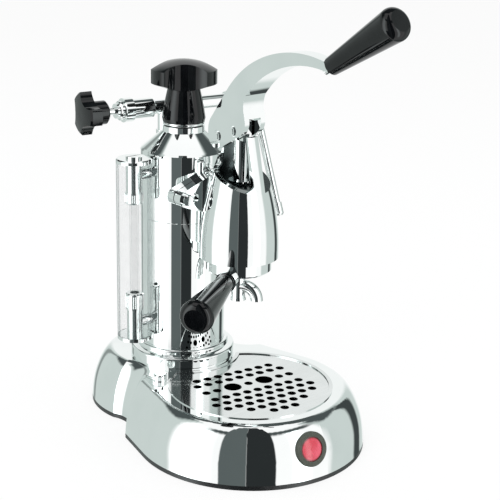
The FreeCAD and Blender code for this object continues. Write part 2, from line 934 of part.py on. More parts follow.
def valve_parts():
    where = valve_place()
    body = [
        ("valve_bore", "valve_left"),
        ("valve_big", "valve_left"),
        ("valve_big", "valve_left + valve_end"),
        ("valve_wide", "valve_left + valve_end"),
        ("valve_wide", "valve_step"),
        ("valve_thin", "valve_step + valve_wide - valve_thin"),
        ("valve_thin", "valve_right"),
        ("valve_bore", "valve_right"),
    ]
    tube = turned("valve_tube", body, *where)
    foot = ("0", "boiler_y + boss_y", "rim_height + boss_high")
    riser = cylinder("valve_riser", "riser_radius", "valve_rise - boss_high", foot)
    way = cylinder("valve_riser_way", "boss_bore", "valve_rise - boss_high", foot)
    core = bar("valve_core", "valve_bore", "valve_left", "valve_right", *where)
    keep(cut("valve_body", fuse("valve_whole", tube, riser), way, core))
    face = "valve_left"
    end = face + " - gland_length"
    gland = [
        ("gland_bore", end + " - gland_neck"),
        ("gland_small", end + " - gland_neck"),
        ("gland_small", end),
        ("gland_radius - gland_edge", end),
        ("gland_radius", end + " + gland_edge"),
        ("gland_radius", face + " - gland_edge"),
        ("gland_radius - gland_edge", face),
        ("gland_bore", face),
    ]
    keep(turned("gland_nut", gland, *where))
    spindle = [
        ("0", "spindle_left"),
        ("spindle_radius", "spindle_left"),
        ("spindle_radius", "spindle_right - spindle_tip"),
        ("0", "spindle_right"),
    ]
    keep(turned("valve_spindle", spindle, *where))
    knob = [
        ("0", "disc_left"),
        ("dome_flat", "disc_left"),
        ("knob_radius - knob_edge", "disc_left + knob_edge", "knob_curve"),
        ("knob_radius", "disc_left + 2 * knob_edge"),
        ("knob_radius", "disc_right"),
        ("hub_radius", "disc_right"),
        ("hub_radius", "hub_right - hub_edge"),
        ("hub_radius - hub_edge", "hub_right"),
        ("spindle_radius + knob_fit", "hub_right"),
        ("spindle_radius + knob_fit", "spindle_left"),
        ("0", "spindle_left"),
    ]
    sides = ("disc_left", "disc_right")
    bars = scallops("knob_bar", "knob_waist", "knob_scallop", "knob_first", *sides, *where)
    keep(cut("steam_knob", turned("knob_blank", knob, *where), *bars))


wand_nut_radius = 7.5
wand_nut_length = 8
wand_nut_edge = 1
wand_radius = 3.5
wand_bore = 2
wand_fit = 0.05
wand_elbow = 92.6
wand_bend = 14
wand_turn = 89.1
wand_swivel = -24
wand_length = 100
tip_radius = 4.6
tip_length = 12
tip_edge = 1.5
tip_hole = 0.8

cells()


def wand_place():
    """Steps to the wand's plane: along the valve's axis, then swung forward about it."""
    return valve_place() + [("0", "0", "0", "wand_swivel")]


def bent_tube(name, radius, *steps):
    """Round bar along the valve's axis and round a bend to the tip."""
    body = new_body(name)
    path = new_sketch(body, "XZ_Plane")
    reach = "wand_bend * tan(wand_turn / 2)"
    knee = ("0", "wand_elbow - " + reach)
    after = (reach + " * sin(wand_turn)", "wand_elbow + %s * cos(wand_turn)" % reach)
    end = ("wand_length * sin(wand_turn)", "wand_elbow + wand_length * cos(wand_turn)")
    points = [FreeCAD.Vector(num(p[0]), num(p[1]), 0) for p in (("0", "valve_right"), knee, after, end)]
    path.addGeometry(Part.LineSegment(points[0], points[1]), False)
    path.addGeometry(arc_between(points[1], points[2], -num("wand_bend")), False)
    path.addGeometry(Part.LineSegment(points[2], points[3]), False)
    path.addConstraint(Sketcher.Constraint("Coincident", 0, 2, 1, 2))
    path.addConstraint(Sketcher.Constraint("Coincident", 1, 1, 2, 1))
    for where, (x, y) in (((0, 1), ("0", "valve_right")), ((0, 2), knee), ((2, 1), after), ((2, 2), end)):
        fix(path, "DistanceX", *where, x)
        fix(path, "DistanceY", *where, y)
    fix(path, "Radius", 1, "wand_bend")
    section = new_sketch(body, "XY_Plane", "valve_right")
    circle(section, "0", "0", radius)
    pipe = body.newObject("PartDesign::AdditivePipe", name + "_pipe")
    pipe.Profile = section
    pipe.Spine = path
    place(body, *steps)
    return body


def wand_parts():
    where = wand_place()
    top = "valve_right + wand_nut_length"
    nut = [
        ("wand_radius + wand_fit", "valve_right"),
        ("wand_nut_radius", "valve_right"),
        ("wand_nut_radius", top + " - wand_nut_edge"),
        ("wand_nut_radius - wand_nut_edge", top),
        ("wand_radius + wand_fit", top),
    ]
    keep(turned("wand_nut", nut, *valve_place()))
    core = bent_tube("wand_core", "wand_bore", *where)
    keep(cut("steam_wand", bent_tube("wand_bar", "wand_radius", *where), core))
    reach = "wand_elbow + wand_length * cos(wand_turn)"
    end = [("wand_length * sin(wand_turn)", "0", reach, "0", "wand_turn")]
    tip = [
        ("tip_hole", "0"),
        ("tip_radius", "0"),
        ("tip_radius", "tip_length - tip_edge"),
        ("tip_radius - tip_edge", "tip_length"),
        ("tip_hole", "tip_length"),
    ]
    keep(turned("steam_tip", tip, *(where + end)))


# Sight glass on the left of the boiler

glass_x = -53.6
glass_radius = 4
glass_bore = 2.6
glass_bottom = 98
glass_drop = 7
glass_fit = 0.05
fitting_radius = 7
upper_under = 14
upper_over = 12
lower_bottom = 77
lower_top = 104
sight_nut_radius = 7.9
upper_nut_height = 10.5
lower_nut_height = 15
sight_nut_edge = 1
seal_radius = 6.2
seal_height = 3
shield_radius = 15.4
shield_wall = 1.4
shield_gap = 8
top_plate_radius = 15.5
top_plate_height = 3.5
top_plate_edge = 1
knob_slot = 1.2
boss_small = 7
boss_height = 2
bottom_plate_height = 3
plate_fit = 0.05
stub_end = 36.2

cells()


def sight_nut(name, face, side, tall):
    """Round nut that squeezes a seal against a fitting: side is the way it points along Z."""
    def height(text):
        return "%s %s (%s)" % (face, side, text)
    shape = [
        ("glass_radius + glass_fit", height("seal_height")),
        ("glass_radius + glass_fit", height(tall)),
        ("sight_nut_radius - sight_nut_edge", height(tall)),
        ("sight_nut_radius", height(tall + " - sight_nut_edge")),
        ("sight_nut_radius", height("0")),
        ("seal_radius", height("0")),
        ("seal_radius", height("seal_height")),
    ]
    if side == "+":
        shape.reverse()
    return turned(name, shape, ("glass_x", "boiler_y", "0"))


def sight_fitting(name, bottom, top, port, bore_bottom, bore_top):
    """Upright block with a stub into the boiler and a socket for the glass."""
    axis = ("glass_x", "boiler_y", "0")
    block = bar(name + "_block", "fitting_radius", bottom, top, axis)
    start = ("glass_x", "boiler_y", port, "0", "90")
    stub = cylinder(name + "_stub", "port_radius", "-stub_end - glass_x", start)
    socket = bar(name + "_socket", "glass_radius + glass_fit", bore_bottom, bore_top, axis)
    way = cylinder(name + "_way", "boss_bore", "-stub_end - glass_x", start)
    return cut(name, fuse(name + "_whole", block, stub), socket, way)


def sight_parts():
    axis = ("glass_x", "boiler_y", "0")
    glass_top = UPPER_PORT + " - glass_drop"
    upper_bottom = UPPER_PORT + " - upper_under"
    upper_top = UPPER_PORT + " + upper_over"
    keep(ring("sight_glass", "glass_bore", "glass_radius", "glass_bottom", glass_top, axis))
    keep(sight_fitting("sight_upper_fitting", upper_bottom, upper_top, UPPER_PORT, upper_bottom, UPPER_PORT))
    lower = ("lower_bottom", "lower_top", "lower_port_z", "lower_port_z", "lower_top")
    keep(sight_fitting("sight_lower_fitting", *lower))
    nuts = [
        sight_nut("upper_sight_nut", upper_bottom, "-", "upper_nut_height"),
        sight_nut("lower_sight_nut", "lower_top", "+", "lower_nut_height"),
    ]
    keep(group("sight_nuts", *nuts))
    fit = "glass_radius + glass_fit"
    seals = [
        ring("upper_sight_seal", fit, "seal_radius", upper_bottom + " - seal_height", upper_bottom, axis),
        ring("lower_sight_seal", fit, "seal_radius", "lower_top", "lower_top + seal_height", axis),
    ]
    keep(group("sight_seals", *seals))
    shield_bottom = "lower_bottom + bottom_plate_height"
    shield_inner = "shield_radius - shield_wall"
    tube = ring("shield_tube", shield_inner, "shield_radius", shield_bottom, upper_top, axis)
    slit = box(
        "shield_slit", "2 * shield_radius", "2 * shield_gap", upper_top + " - lower_bottom",
        ("glass_x", "boiler_y - shield_gap", "lower_bottom"),
    )
    keep(cut("sight_shield", tube, slit))
    hole = "fitting_radius + plate_fit"
    keep(ring("shield_bottom_plate", hole, "top_plate_radius", "lower_bottom", shield_bottom, axis))
    plate_top = upper_top + " + top_plate_height"
    plate = [
        ("0", upper_top),
        ("top_plate_radius", upper_top),
        ("top_plate_radius", plate_top + " - top_plate_edge"),
        ("top_plate_radius - top_plate_edge", plate_top),
        ("boss_small", plate_top),
        ("boss_small", plate_top + " + boss_height"),
        ("0", plate_top + " + boss_height"),
    ]
    slot = box(
        "top_plate_slot", "4 * boss_small", "knob_slot", "boss_height",
        ("glass_x - 2 * boss_small", "boiler_y - knob_slot / 2", plate_top),
    )
    keep(cut("shield_top_plate", turned("top_plate_blank", plate, axis), slot))


# Group: the bell in front of the boiler, with its piston

bell_bottom = 163.2
bell_radius = 33.8
bell_skirt = 8
bell_shoulder = 26.4
bell_shoulder_z = 222
bell_curve = 190
tower_radius = 16
tower_top = 268.6
tower_bore = 12.8
tower_bore_low = 20
tower_floor = 224
mouth_radius = 29.6
mouth_height = 4
groove_radius = 31.8
seat_z = 177.2
screen_radius = 25.2
sleeve_seat_z = 181.2
sleeve_radius = 21.5
sleeve_fit = 0.02
sleeve_bore = 19.5
sleeve_top = 219.2
rod_hole = 6.05
window_rear = 17.4
window_rear_z = 241
window_front = 34
window_front_z = 219.5
window_round = 8
web_half = 5.5
knuckle_radius = 7
pivot_y = -6.2
pivot_z = 264.7
pivot_radius = 3.5
pin_fit = 0.03
neck_half = 12
neck_low = 195
neck_high = 231
neck_end = 16
water_length = 10
lug_turn = 57.3
lug_width = 15
lug_gap = 1.2
guide_radius = 10
guide_height = 6
cheek_radius = 15

cells()


def window_outline():
    """Side view of the tower's side windows: a sill that falls to the front, and a round rear corner."""
    fall = "(window_rear_z - window_front_z) / (window_rear + window_front)"
    return [
        ("-window_front", "tower_top"),
        ("window_rear", "tower_top"),
        ("window_rear", "window_rear_z + window_round"),
        ("window_rear - window_round", "window_rear_z - window_round * " + fall, "-window_round"),
        ("-window_front", "window_front_z"),
    ]


def group_body():
    """Bell, open tower and neck of the group, as one casting, with the plate that bolts to the boiler."""
    axis = ("0", "group_y", "0")
    outer = [
        ("0", "bell_bottom"),
        ("bell_radius", "bell_bottom"),
        ("bell_radius", "bell_bottom + bell_skirt"),
        ("bell_shoulder", "bell_shoulder_z", "bell_curve"),
        ("tower_radius", "tower_top"),
        ("0", "tower_top"),
    ]
    bell = turned("bell_outer", outer, axis)
    plate = ear_plate("group_plate", "boiler_y - pad_y - gasket_thick", "pad_height", "pad_bore")
    neck_start = "boiler_y - pad_y - gasket_thick"
    neck = box(
        "group_neck", "2 * neck_half", neck_start + " - group_y - neck_end", "neck_high - neck_low",
        ("-neck_half", "group_y + neck_end", "neck_low"),
    )
    pivot = ("-web_half", "pivot_y", "pivot_z", "0", "90")
    knuckle = cylinder("pivot_knuckle", "knuckle_radius", "2 * web_half", pivot)
    whole = fuse("group_whole", bell, plate, neck, knuckle)
    bore = [
        ("0", "bell_bottom"),
        ("mouth_radius", "bell_bottom"),
        ("mouth_radius", "bell_bottom + mouth_height"),
        ("groove_radius", "bell_bottom + mouth_height"),
        ("groove_radius", "seat_z"),
        ("screen_radius", "seat_z"),
        ("screen_radius", "sleeve_seat_z"),
        ("sleeve_radius + sleeve_fit", "sleeve_seat_z"),
        ("sleeve_radius + sleeve_fit", "sleeve_top"),
        ("rod_hole", "sleeve_top"),
        ("rod_hole", "tower_floor"),
        ("tower_bore_low", "tower_floor"),
        ("tower_bore", "tower_top"),
        ("0", "tower_top"),
    ]
    tools = [turned("group_bore", bore, axis)]
    for index, side in enumerate(("web_half", "-web_half - 2 * bell_radius")):
        name = "group_window_%d" % index
        start = (side, "group_y", "0")
        tools.append(padded(name, "YZ_Plane", window_outline(), "0", "2 * bell_radius", start))
        where = (side, "pivot_y", "pivot_z", "0", "90")
        tools.append(cylinder("cheek_way_%d" % index, "cheek_radius", "2 * bell_radius", where))
    pin_way = cylinder("pivot_way", "pivot_radius + pin_fit", "2 * web_half", pivot)
    lug_way = box(
        "lug_way", "lug_width + 2 * lug_gap", "2 * groove_radius", "2 * mouth_height",
        ("0", "group_y", "bell_bottom - mouth_height", "-lug_turn - 90"),
        ("-lug_width / 2 - lug_gap", "-groove_radius", "0"),
    )
    below = ("0", "group_y", "bell_bottom - mouth_height")
    round_way = cylinder("lug_round", "groove_radius", "2 * mouth_height", below)
    inlet = ("0", neck_start, "pad_z", "0", "0", "90")
    water = cylinder("group_water_way", "pad_bore", "water_length", inlet)
    tools += [pin_way, common("lug_entry", lug_way, round_way), water]
    keep(cut("group_body", whole, *tools))


def group_fasteners():
    """Bolts through the ears of the two plates."""
    bolts = []
    head = "boiler_y - pad_y - gasket_thick - pad_height"
    for index, x in enumerate(("ear_x", "-ear_x")):
        shape = [
            ("0", "0"),
            ("bolt_head", "0"),
            ("bolt_head", "bolt_head_height - bolt_edge"),
            ("bolt_head - bolt_edge", "bolt_head_height"),
            ("0", "bolt_head_height"),
        ]
        cap = turned("bolt_head_%d" % index, shape, (x, head, "pad_z", "0", "0", "90"))
        back = (x, head, "pad_z", "0", "0", "-90")
        shank = cylinder("bolt_shank_%d" % index, "bolt_radius", "bolt_length", back)
        bolts.append(fuse("group_bolt_%d" % index, cap, shank))
    keep(group("group_bolts", *bolts))


bolt_head = 5
bolt_head_height = 4
bolt_edge = 1
bolt_length = 16
piston_radius = 19.3
piston_bottom = 198.2
piston_height = 13.5
seal_groove = 1.6
seal_bite = 16.6
seal_wide = 19.45
seal_low = 3
seal_high = 9.4
rod_stem = 6
rod_seat = 8
eye_front = 7.9
eye_rear = 10.1
eye_low = 8
eye_high = 8
eye_half = 4.6
slot_front = 5.5
slot_rear = 7.6
slot_half = 4.5
eye_z = 272.4
pin_y = -25.5
screen_height = 2
screen_hole = 1.1
screen_ring = 15
screen_gap = 0.1
gasket_low = 174.2

cells()


SCREEN_HOLES = 12


def piston_parts():
    """Sleeve in the bell, and the piston with its two seals on the rod."""
    axis = ("0", "group_y", "0")
    keep(ring("cylinder_sleeve", "sleeve_bore", "sleeve_radius", "sleeve_seat_z", "sleeve_top", axis))
    grooves = []
    for name, low in (("low", "seal_low"), ("high", "seal_high")):
        bottom = "piston_bottom + " + low
        grooves.append((name, bottom, bottom + " + seal_groove"))
    top = "piston_bottom + piston_height"
    shape = [("0", "piston_bottom"), ("piston_radius", "piston_bottom")]
    rings = []
    for name, bottom, end in grooves:
        shape += [("piston_radius", bottom), ("seal_bite", bottom)]
        shape += [("seal_bite", end), ("piston_radius", end)]
        rings.append(ring("piston_seal_" + name, "seal_bite", "seal_wide", bottom, end, axis))
    foot = top + " - rod_seat"
    shape += [("piston_radius", top), ("rod_stem", top), ("rod_stem", foot), ("0", foot)]
    keep(turned("piston", shape, axis))
    keep(group("piston_seals", *rings))
    stem = cylinder("rod_bar", "rod_stem", "eye_z - eye_low - (%s)" % foot, ("0", "group_y", foot))
    eye = box(
        "rod_eye", "2 * eye_half", "eye_front + eye_rear", "eye_low + eye_high",
        ("-eye_half", "group_y - eye_front", "eye_z - eye_low"),
    )
    slot = box(
        "rod_slot", "4 * eye_half", "slot_front + slot_rear", "2 * slot_half",
        ("-2 * eye_half", "group_y - slot_front", "eye_z - slot_half"),
    )
    keep(cut("piston_rod", fuse("rod_whole", stem, eye), slot))
    keep(ring("rod_guide", "rod_hole", "guide_radius", "tower_floor", "tower_floor + guide_height", axis))


def group_mouth():
    """Shower screen under the sleeve and the seal that the portafilter presses on."""
    axis = ("0", "group_y", "0")
    body = new_body("shower_screen")
    disc = new_sketch(body, "XY_Plane", "sleeve_seat_z - screen_height")
    circle(disc, "0", "0", "screen_radius - screen_gap")
    pad = body.newObject("PartDesign::Pad", "screen_pad")
    pad.Profile = disc
    bind(pad, "Length", "screen_height")
    holes = new_sketch(body, "XY_Plane", "sleeve_seat_z")
    for index in range(SCREEN_HOLES):
        angle = "%g" % (360 * index / SCREEN_HOLES)
        circle(holes, "screen_ring * cos(%s)" % angle, "screen_ring * sin(%s)" % angle, "screen_hole")
    pocket = body.newObject("PartDesign::Pocket", "screen_holes")
    pocket.Profile = holes
    pocket.Type = "ThroughAll"
    place(body, axis)
    keep(body)
    keep(ring("group_seal", "screen_radius", "groove_radius", "gasket_low", "seat_z", axis))


# Lever: a curved fork that carries the piston rod, and its handle

lever_half = 11
lever_tip_half = 5.5
fork_half = 6.2
fork_root = 41
boss_back = 10.4
lever_low_x = 29.6
lever_low_z = 5
lever_nose_x = 36.6
lever_nose_z = 17
lever_chin_x = 33.9
lever_chin_z = 28
lever_throat_x = 36
lever_throat_z = 39.1
lever_back_x = 10.6
lever_back_z = 38
lever_heel_x = -8.3
lever_heel_z = 13.2
lever_outer_curve = 106
lever_inner_curve = 90
lever_end_x = 120.1
lever_end_z = 79.2
lever_tip_x = 125.1
lever_tip_z = 71.2
low_corner = 14
chin_curve = 24
heel_curve = 20
sole_angle = -63
handle_pitch = 32
handle_x = 122.6
handle_z = 75.2
lever_stud = 4.5
lever_stud_length = 34
stud_root = 6
stud_slip = 0.02
taper_start = 40
taper_end = 125

cells()


def lever_profile():
    """Side view of the lever arm, forward and up from its pivot."""
    return [
        ("lever_heel_x", "lever_heel_z"),
        ("-boss_back", "0", "heel_curve"),
        ("boss_back * cos(sole_angle)", "boss_back * sin(sole_angle)", "boss_back"),
        ("lever_low_x", "lever_low_z"),
        ("lever_nose_x", "lever_nose_z", "low_corner"),
        ("lever_chin_x", "lever_chin_z"),
        ("lever_throat_x", "lever_throat_z", "-chin_curve"),
        ("lever_tip_x", "lever_tip_z", "-lever_inner_curve"),
        ("lever_end_x", "lever_end_z"),
        ("lever_back_x", "lever_back_z", "lever_outer_curve"),
    ]


def lever_place():
    """Steps to the lever's side view: its X is forward and its Y is up, from the pivot."""
    return [("0", "pivot_y", "pivot_z", "-90"), ("0", "0", "0", "0", "0", "90")]


def lever_parts():
    where = lever_place()
    side = padded("lever_side", "XY_Plane", lever_profile(), "-lever_half", "lever_half", *where)
    plan = [
        ("-taper_start", "-lever_half"),
        ("taper_start", "-lever_half"),
        ("taper_end + lever_stud", "-lever_tip_half"),
        ("taper_end + lever_stud", "lever_tip_half"),
        ("taper_start", "lever_half"),
        ("-taper_start", "lever_half"),
    ]
    ahead = ("0", "pivot_y", "pivot_z", "-90")
    wedge = padded("lever_plan", "XY_Plane", plan, "-taper_end", "taper_end", ahead)
    arm = common("lever_blank", side, wedge)
    stud_step = ("handle_x", "handle_z", "0", "handle_pitch", "90")
    root = ("0", "0", "-stud_root")
    stud = cylinder("lever_stud_bar", "lever_stud", "lever_stud_length + stud_root", *where, stud_step, root)
    inside = ("-fork_half", "pivot_y", "pivot_z", "0", "90")
    fork = cylinder("lever_fork", "fork_root", "2 * fork_half", inside)
    ways = []
    for name, y, z in (("pivot", "pivot_y", "pivot_z"), ("rod", "pin_y", "eye_z")):
        start = ("-2 * lever_half", y, z, "0", "90")
        ways.append(cylinder("lever_%s_way" % name, "pivot_radius + pin_fit", "4 * lever_half", start))
    keep(cut("lever_arm", fuse("lever_whole", arm, stud), fork, *ways))


handle_thin = 7.5
handle_thick = 13.2
handle_length = 80
handle_edge = 1
handle_round = 7
handle_flat = 8.5
handle_end_curve = 7.5
pin_end = 12.4
clip_radius = 5
clip_height = 1
clip_fit = 0.02

cells()


def handle_profile(bore, depth, thick):
    """Tapered round handle from its thin end, with a blind bore for a stud."""
    wide_at = "handle_length - handle_round"
    return [
        (bore, "0"),
        ("handle_thin - handle_edge", "0"),
        ("handle_thin", "handle_edge"),
        (thick, wide_at),
        ("handle_flat", "handle_length", "handle_end_curve"),
        ("0", "handle_length"),
        ("0", depth),
        (bore, depth),
    ]


def lever_fittings():
    """Handle on the lever's end, the two pins and the clips on the pins' ends."""
    where = lever_place() + [("handle_x", "handle_z", "0", "handle_pitch", "90")]
    shape = handle_profile("lever_stud + stud_slip", "lever_stud_length", "handle_thick")
    keep(turned("lever_handle", shape, *where))
    clips = []
    for name, label, y, z in (
        ("pivot", "lever_pivot_pin", "pivot_y", "pivot_z"),
        ("rod", "lever_rod_pin", "pin_y", "eye_z"),
    ):
        keep(cylinder(label, "pivot_radius", "2 * pin_end", ("-pin_end", y, z, "0", "90")))
        for side, start in (("left", "-lever_half - clip_height"), ("right", "lever_half")):
            clips.append(ring(
                "%s_clip_%s" % (name, side), "pivot_radius + clip_fit", "clip_radius", "0", "clip_height",
                (start, y, z, "0", "90"),
            ))
    keep(group("pin_clips", *clips))


# Portafilter: a ring with two lugs, its basket, spout and handle

filter_turn = 57.3
filter_radius = 28
filter_bore = 26.2
filter_top = 171.8
filter_bottom = 150.8
filter_floor = 3
filter_cone = 10
filter_cone_drop = 5
filter_edge = 1.5
drain_radius = 4
lug_low = 167.7
lug_height = 3.2
lug_reach = 31.4
basket_radius = 25.4
basket_wall = 0.8
basket_bottom = 154.3
basket_lip = 28.6
lip_height = 1.2
wire_ring = 26.7
wire_radius = 0.6
wire_z = 163
arm_radius = 5
arm_z = 151.2
arm_tilt = 3.4
arm_root = 27.1
arm_length = 36
grip_thick = 14.2
ferrule_back = 2
ferrule_end = 9.9
ferrule_thin = 8
ferrule_thick = 9
arm_slip = 0.02
spout_neck = 6
spout_foot = 6.8
spout_foot_height = 2.5
spout_bottom = 123.3
spout_z = 136.3
spout_half = 4.6
spout_bend = 12
spout_radius = 5.4
spout_bore = 3.8

cells()


def filter_place():
    """Steps to the portafilter's frame: its X is along the handle."""
    return [("0", "group_y", "0", "-90 - filter_turn")]


def filter_body():
    where = filter_place()
    shape = [
        ("drain_radius", "filter_bottom - filter_cone_drop"),
        ("filter_cone", "filter_bottom - filter_cone_drop"),
        ("filter_radius - filter_edge", "filter_bottom"),
        ("filter_radius", "filter_bottom + filter_edge"),
        ("filter_radius", "filter_top"),
        ("filter_bore", "filter_top"),
        ("filter_bore", "wire_z + wire_radius"),
        ("wire_ring + wire_radius", "wire_z + wire_radius"),
        ("wire_ring + wire_radius", "wire_z - wire_radius"),
        ("filter_bore", "wire_z - wire_radius"),
        ("filter_bore", "filter_bottom + filter_floor"),
        ("drain_radius", "filter_bottom + filter_floor - filter_edge"),
    ]
    cup = turned("filter_cup", shape, *where)
    corner = ("-lug_width / 2", "-lug_reach", "lug_low")
    lug_box = box("lug_box", "lug_width", "2 * lug_reach", "lug_height", *where, corner)
    root = "filter_radius - filter_edge"
    lug_ring = ring("lug_ring", root, "lug_reach", "lug_low", "lug_low + lug_height", *where)
    grip = where + [("arm_root", "0", "arm_z", "0", "90 + arm_tilt")]
    arm = cylinder("filter_arm", "arm_radius", "arm_length", *grip)
    keep(fuse("portafilter_body", cup, common("filter_lugs", lug_box, lug_ring), arm))
    ferrule = [
        ("arm_radius + arm_slip", "-ferrule_back"),
        ("ferrule_thin", "-ferrule_back"),
        ("ferrule_thick", "ferrule_end"),
        ("arm_radius + arm_slip", "ferrule_end"),
    ]
    blank = turned("ferrule_blank", ferrule, *grip)
    low = ("0", "0", "arm_z - 2 * ferrule_thick")
    clear = cylinder("ferrule_clear", "filter_radius", "4 * ferrule_thick", *where, low)
    keep(cut("portafilter_ferrule", blank, clear))
    handle = handle_profile("arm_radius + arm_slip", "arm_length - ferrule_end", "grip_thick")
    keep(turned("portafilter_handle", handle, *grip, ("0", "0", "ferrule_end")))


def filter_inside():
    """Basket, its wire spring and the twin spout."""
    where = filter_place()
    top = "filter_top + lip_height"
    inner = "basket_radius - basket_wall"
    basket = [
        ("0", "basket_bottom"),
        ("basket_radius", "basket_bottom"),
        ("basket_radius", "filter_top"),
        ("basket_lip", "filter_top"),
        ("basket_lip", top),
        (inner, top),
        (inner, "basket_bottom + basket_wall"),
        ("0", "basket_bottom + basket_wall"),
    ]
    keep(turned("filter_basket", basket, *where))
    wire = doc.addObject("Part::Torus", "basket_spring")
    bind(wire, "Radius1", "wire_ring")
    bind(wire, "Radius2", "wire_radius")
    place(wire, *where, ("0", "0", "wire_z"))
    keep(wire)
    top = "filter_bottom - filter_cone_drop"
    foot = "spout_bottom + spout_foot_height"
    boss = [
        ("0", "spout_bottom"),
        ("spout_foot", "spout_bottom"),
        ("spout_foot", foot),
        ("spout_neck", foot),
        ("spout_neck", top),
        ("drain_radius", top),
        ("drain_radius", "spout_z"),
        ("0", "spout_z"),
    ]
    solids = [turned("spout_boss", boss, *where)]
    ways = []
    for name, radius, into in (("spout_arm", "spout_radius", solids), ("spout_way", "spout_bore", ways)):
        across = ("0", "-spout_half", "spout_z", "0", "0", "-90")
        into.append(cylinder(name + "_bar", radius, "2 * spout_half", *where, across))
        for index, side in enumerate(("90", "-90")):
            bend = doc.addObject("Part::Torus", "%s_%d" % (name, index))
            bind(bend, "Radius1", "spout_bend")
            bind(bend, "Radius2", radius)
            bend.Angle3 = 90
            end = ("spout_half", "0", "-spout_bend", "0", "0", "90")
            place(bend, *where, ("0", "0", "spout_z", side), end)
            into.append(bend)
    keep(cut("portafilter_spout", fuse("spout_whole", *solids), *ways))


base_underside()
drip_parts()
switch_parts()
inlet_parts()
deck_screw()
base_shell()
boiler_tube_parts()
element_parts()
boiler_head()
cap_parts()
valve_parts()
wand_parts()
sight_parts()
group_body()
group_fasteners()
piston_parts()
group_mouth()
lever_parts()
lever_fittings()
filter_body()
filter_inside()
doc.recompute()

for thing in doc.Objects:
    if "Invalid" in thing.State or "Error" in thing.State:
        raise RuntimeError("failed: " + thing.Label)
for thing in NODES:
    if thing.Shape.isNull() or not thing.Shape.isValid() or not thing.Shape.Solids:
        raise RuntimeError("no valid solid: " + thing.Label)
os.makedirs("parts", exist_ok=True)
for thing in NODES:
    thing.Shape.exportStep("parts/%s.step" % thing.Label)
    print(thing.Label, len(thing.Shape.Solids), round(thing.Shape.Volume))
print(len(NODES), "nodes")
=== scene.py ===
# %% [markdown]
# # A lever espresso machine, dressed for its photograph
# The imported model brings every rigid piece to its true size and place: base, boiler, group, lever,
# steam valve, filter holder. What is left for Blender is how they look. This lesson gives each of them
# a finish, adds the small pieces that a solid model has no need of, and builds the white studio whose
# cards make the chrome look like chrome.

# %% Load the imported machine
import json
import math

import bmesh
import bpy
from mathutils import Matrix, Vector


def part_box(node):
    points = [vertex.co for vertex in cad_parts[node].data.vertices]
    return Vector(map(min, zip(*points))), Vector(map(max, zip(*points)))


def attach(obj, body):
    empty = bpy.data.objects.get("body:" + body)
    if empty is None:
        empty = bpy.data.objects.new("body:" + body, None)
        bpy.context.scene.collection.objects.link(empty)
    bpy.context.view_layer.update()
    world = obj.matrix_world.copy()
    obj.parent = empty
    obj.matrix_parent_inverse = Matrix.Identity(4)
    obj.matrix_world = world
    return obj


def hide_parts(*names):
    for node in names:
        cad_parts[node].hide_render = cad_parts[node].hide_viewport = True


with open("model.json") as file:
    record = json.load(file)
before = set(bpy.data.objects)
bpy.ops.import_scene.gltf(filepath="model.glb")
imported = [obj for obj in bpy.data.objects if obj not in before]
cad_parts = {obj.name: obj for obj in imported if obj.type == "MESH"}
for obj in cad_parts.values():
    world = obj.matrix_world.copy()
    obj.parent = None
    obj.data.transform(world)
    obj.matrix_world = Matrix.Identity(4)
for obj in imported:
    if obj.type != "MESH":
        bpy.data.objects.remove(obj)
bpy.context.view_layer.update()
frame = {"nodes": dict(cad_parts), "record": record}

MM = 0.001
scene = bpy.context.scene

# %% [markdown]
# ## The camera
# The photograph was taken from in front and to the left, a little above the machine, with a longish
# lens. A camera's matrix has its own right, up and back directions as columns, so it can be written
# straight from an azimuth, an elevation and a small roll, which is easier to tune than three Euler
# angles.

# %% Camera
CAMERA_AZIMUTH = math.radians(-41.0)
CAMERA_ELEVATION = math.radians(17.9)
CAMERA_ROLL = math.radians(1.23)
CAMERA_PLACE = Vector((-0.6863, -0.8292, 0.5092))
SENSOR_WIDTH = 36.0
LENS_LENGTH = 93.87

view_back = Vector((
    math.sin(CAMERA_AZIMUTH) * math.cos(CAMERA_ELEVATION),
    -math.cos(CAMERA_AZIMUTH) * math.cos(CAMERA_ELEVATION),
    math.sin(CAMERA_ELEVATION),
))
level_right = Vector((math.cos(CAMERA_AZIMUTH), math.sin(CAMERA_AZIMUTH), 0.0))
level_up = view_back.cross(level_right)
view_right = level_right * math.cos(CAMERA_ROLL) + level_up * math.sin(CAMERA_ROLL)
view_up = level_up * math.cos(CAMERA_ROLL) - level_right * math.sin(CAMERA_ROLL)
camera_matrix = Matrix((view_right, view_up, view_back)).transposed().to_4x4()
camera_matrix.translation = CAMERA_PLACE

camera_data = bpy.data.cameras.new("camera")
camera_data.sensor_width = SENSOR_WIDTH
camera_data.lens = LENS_LENGTH
camera_data.clip_start = 0.02
camera_data.clip_end = 30.0
camera = bpy.data.objects.new("camera", camera_data)
scene.collection.objects.link(camera)
camera.matrix_world = camera_matrix
scene.camera = camera
print("camera at", tuple(round(c, 3) for c in CAMERA_PLACE))

# %% [markdown]
# ## Shader maths as sums
# A node tree is a sum drawn with wires. Writing it as a Python expression is shorter: one class holds
# a socket, its operators add Math nodes, and one method adds any other node. The same method builds
# the geometry trees further down, because they are made of nodes and sockets too.

# %% A socket that takes part in sums
MIX_FACTOR = 0
MIX_FIRST = 6
MIX_SECOND = 7
MIX_COLOUR_OUT = 2


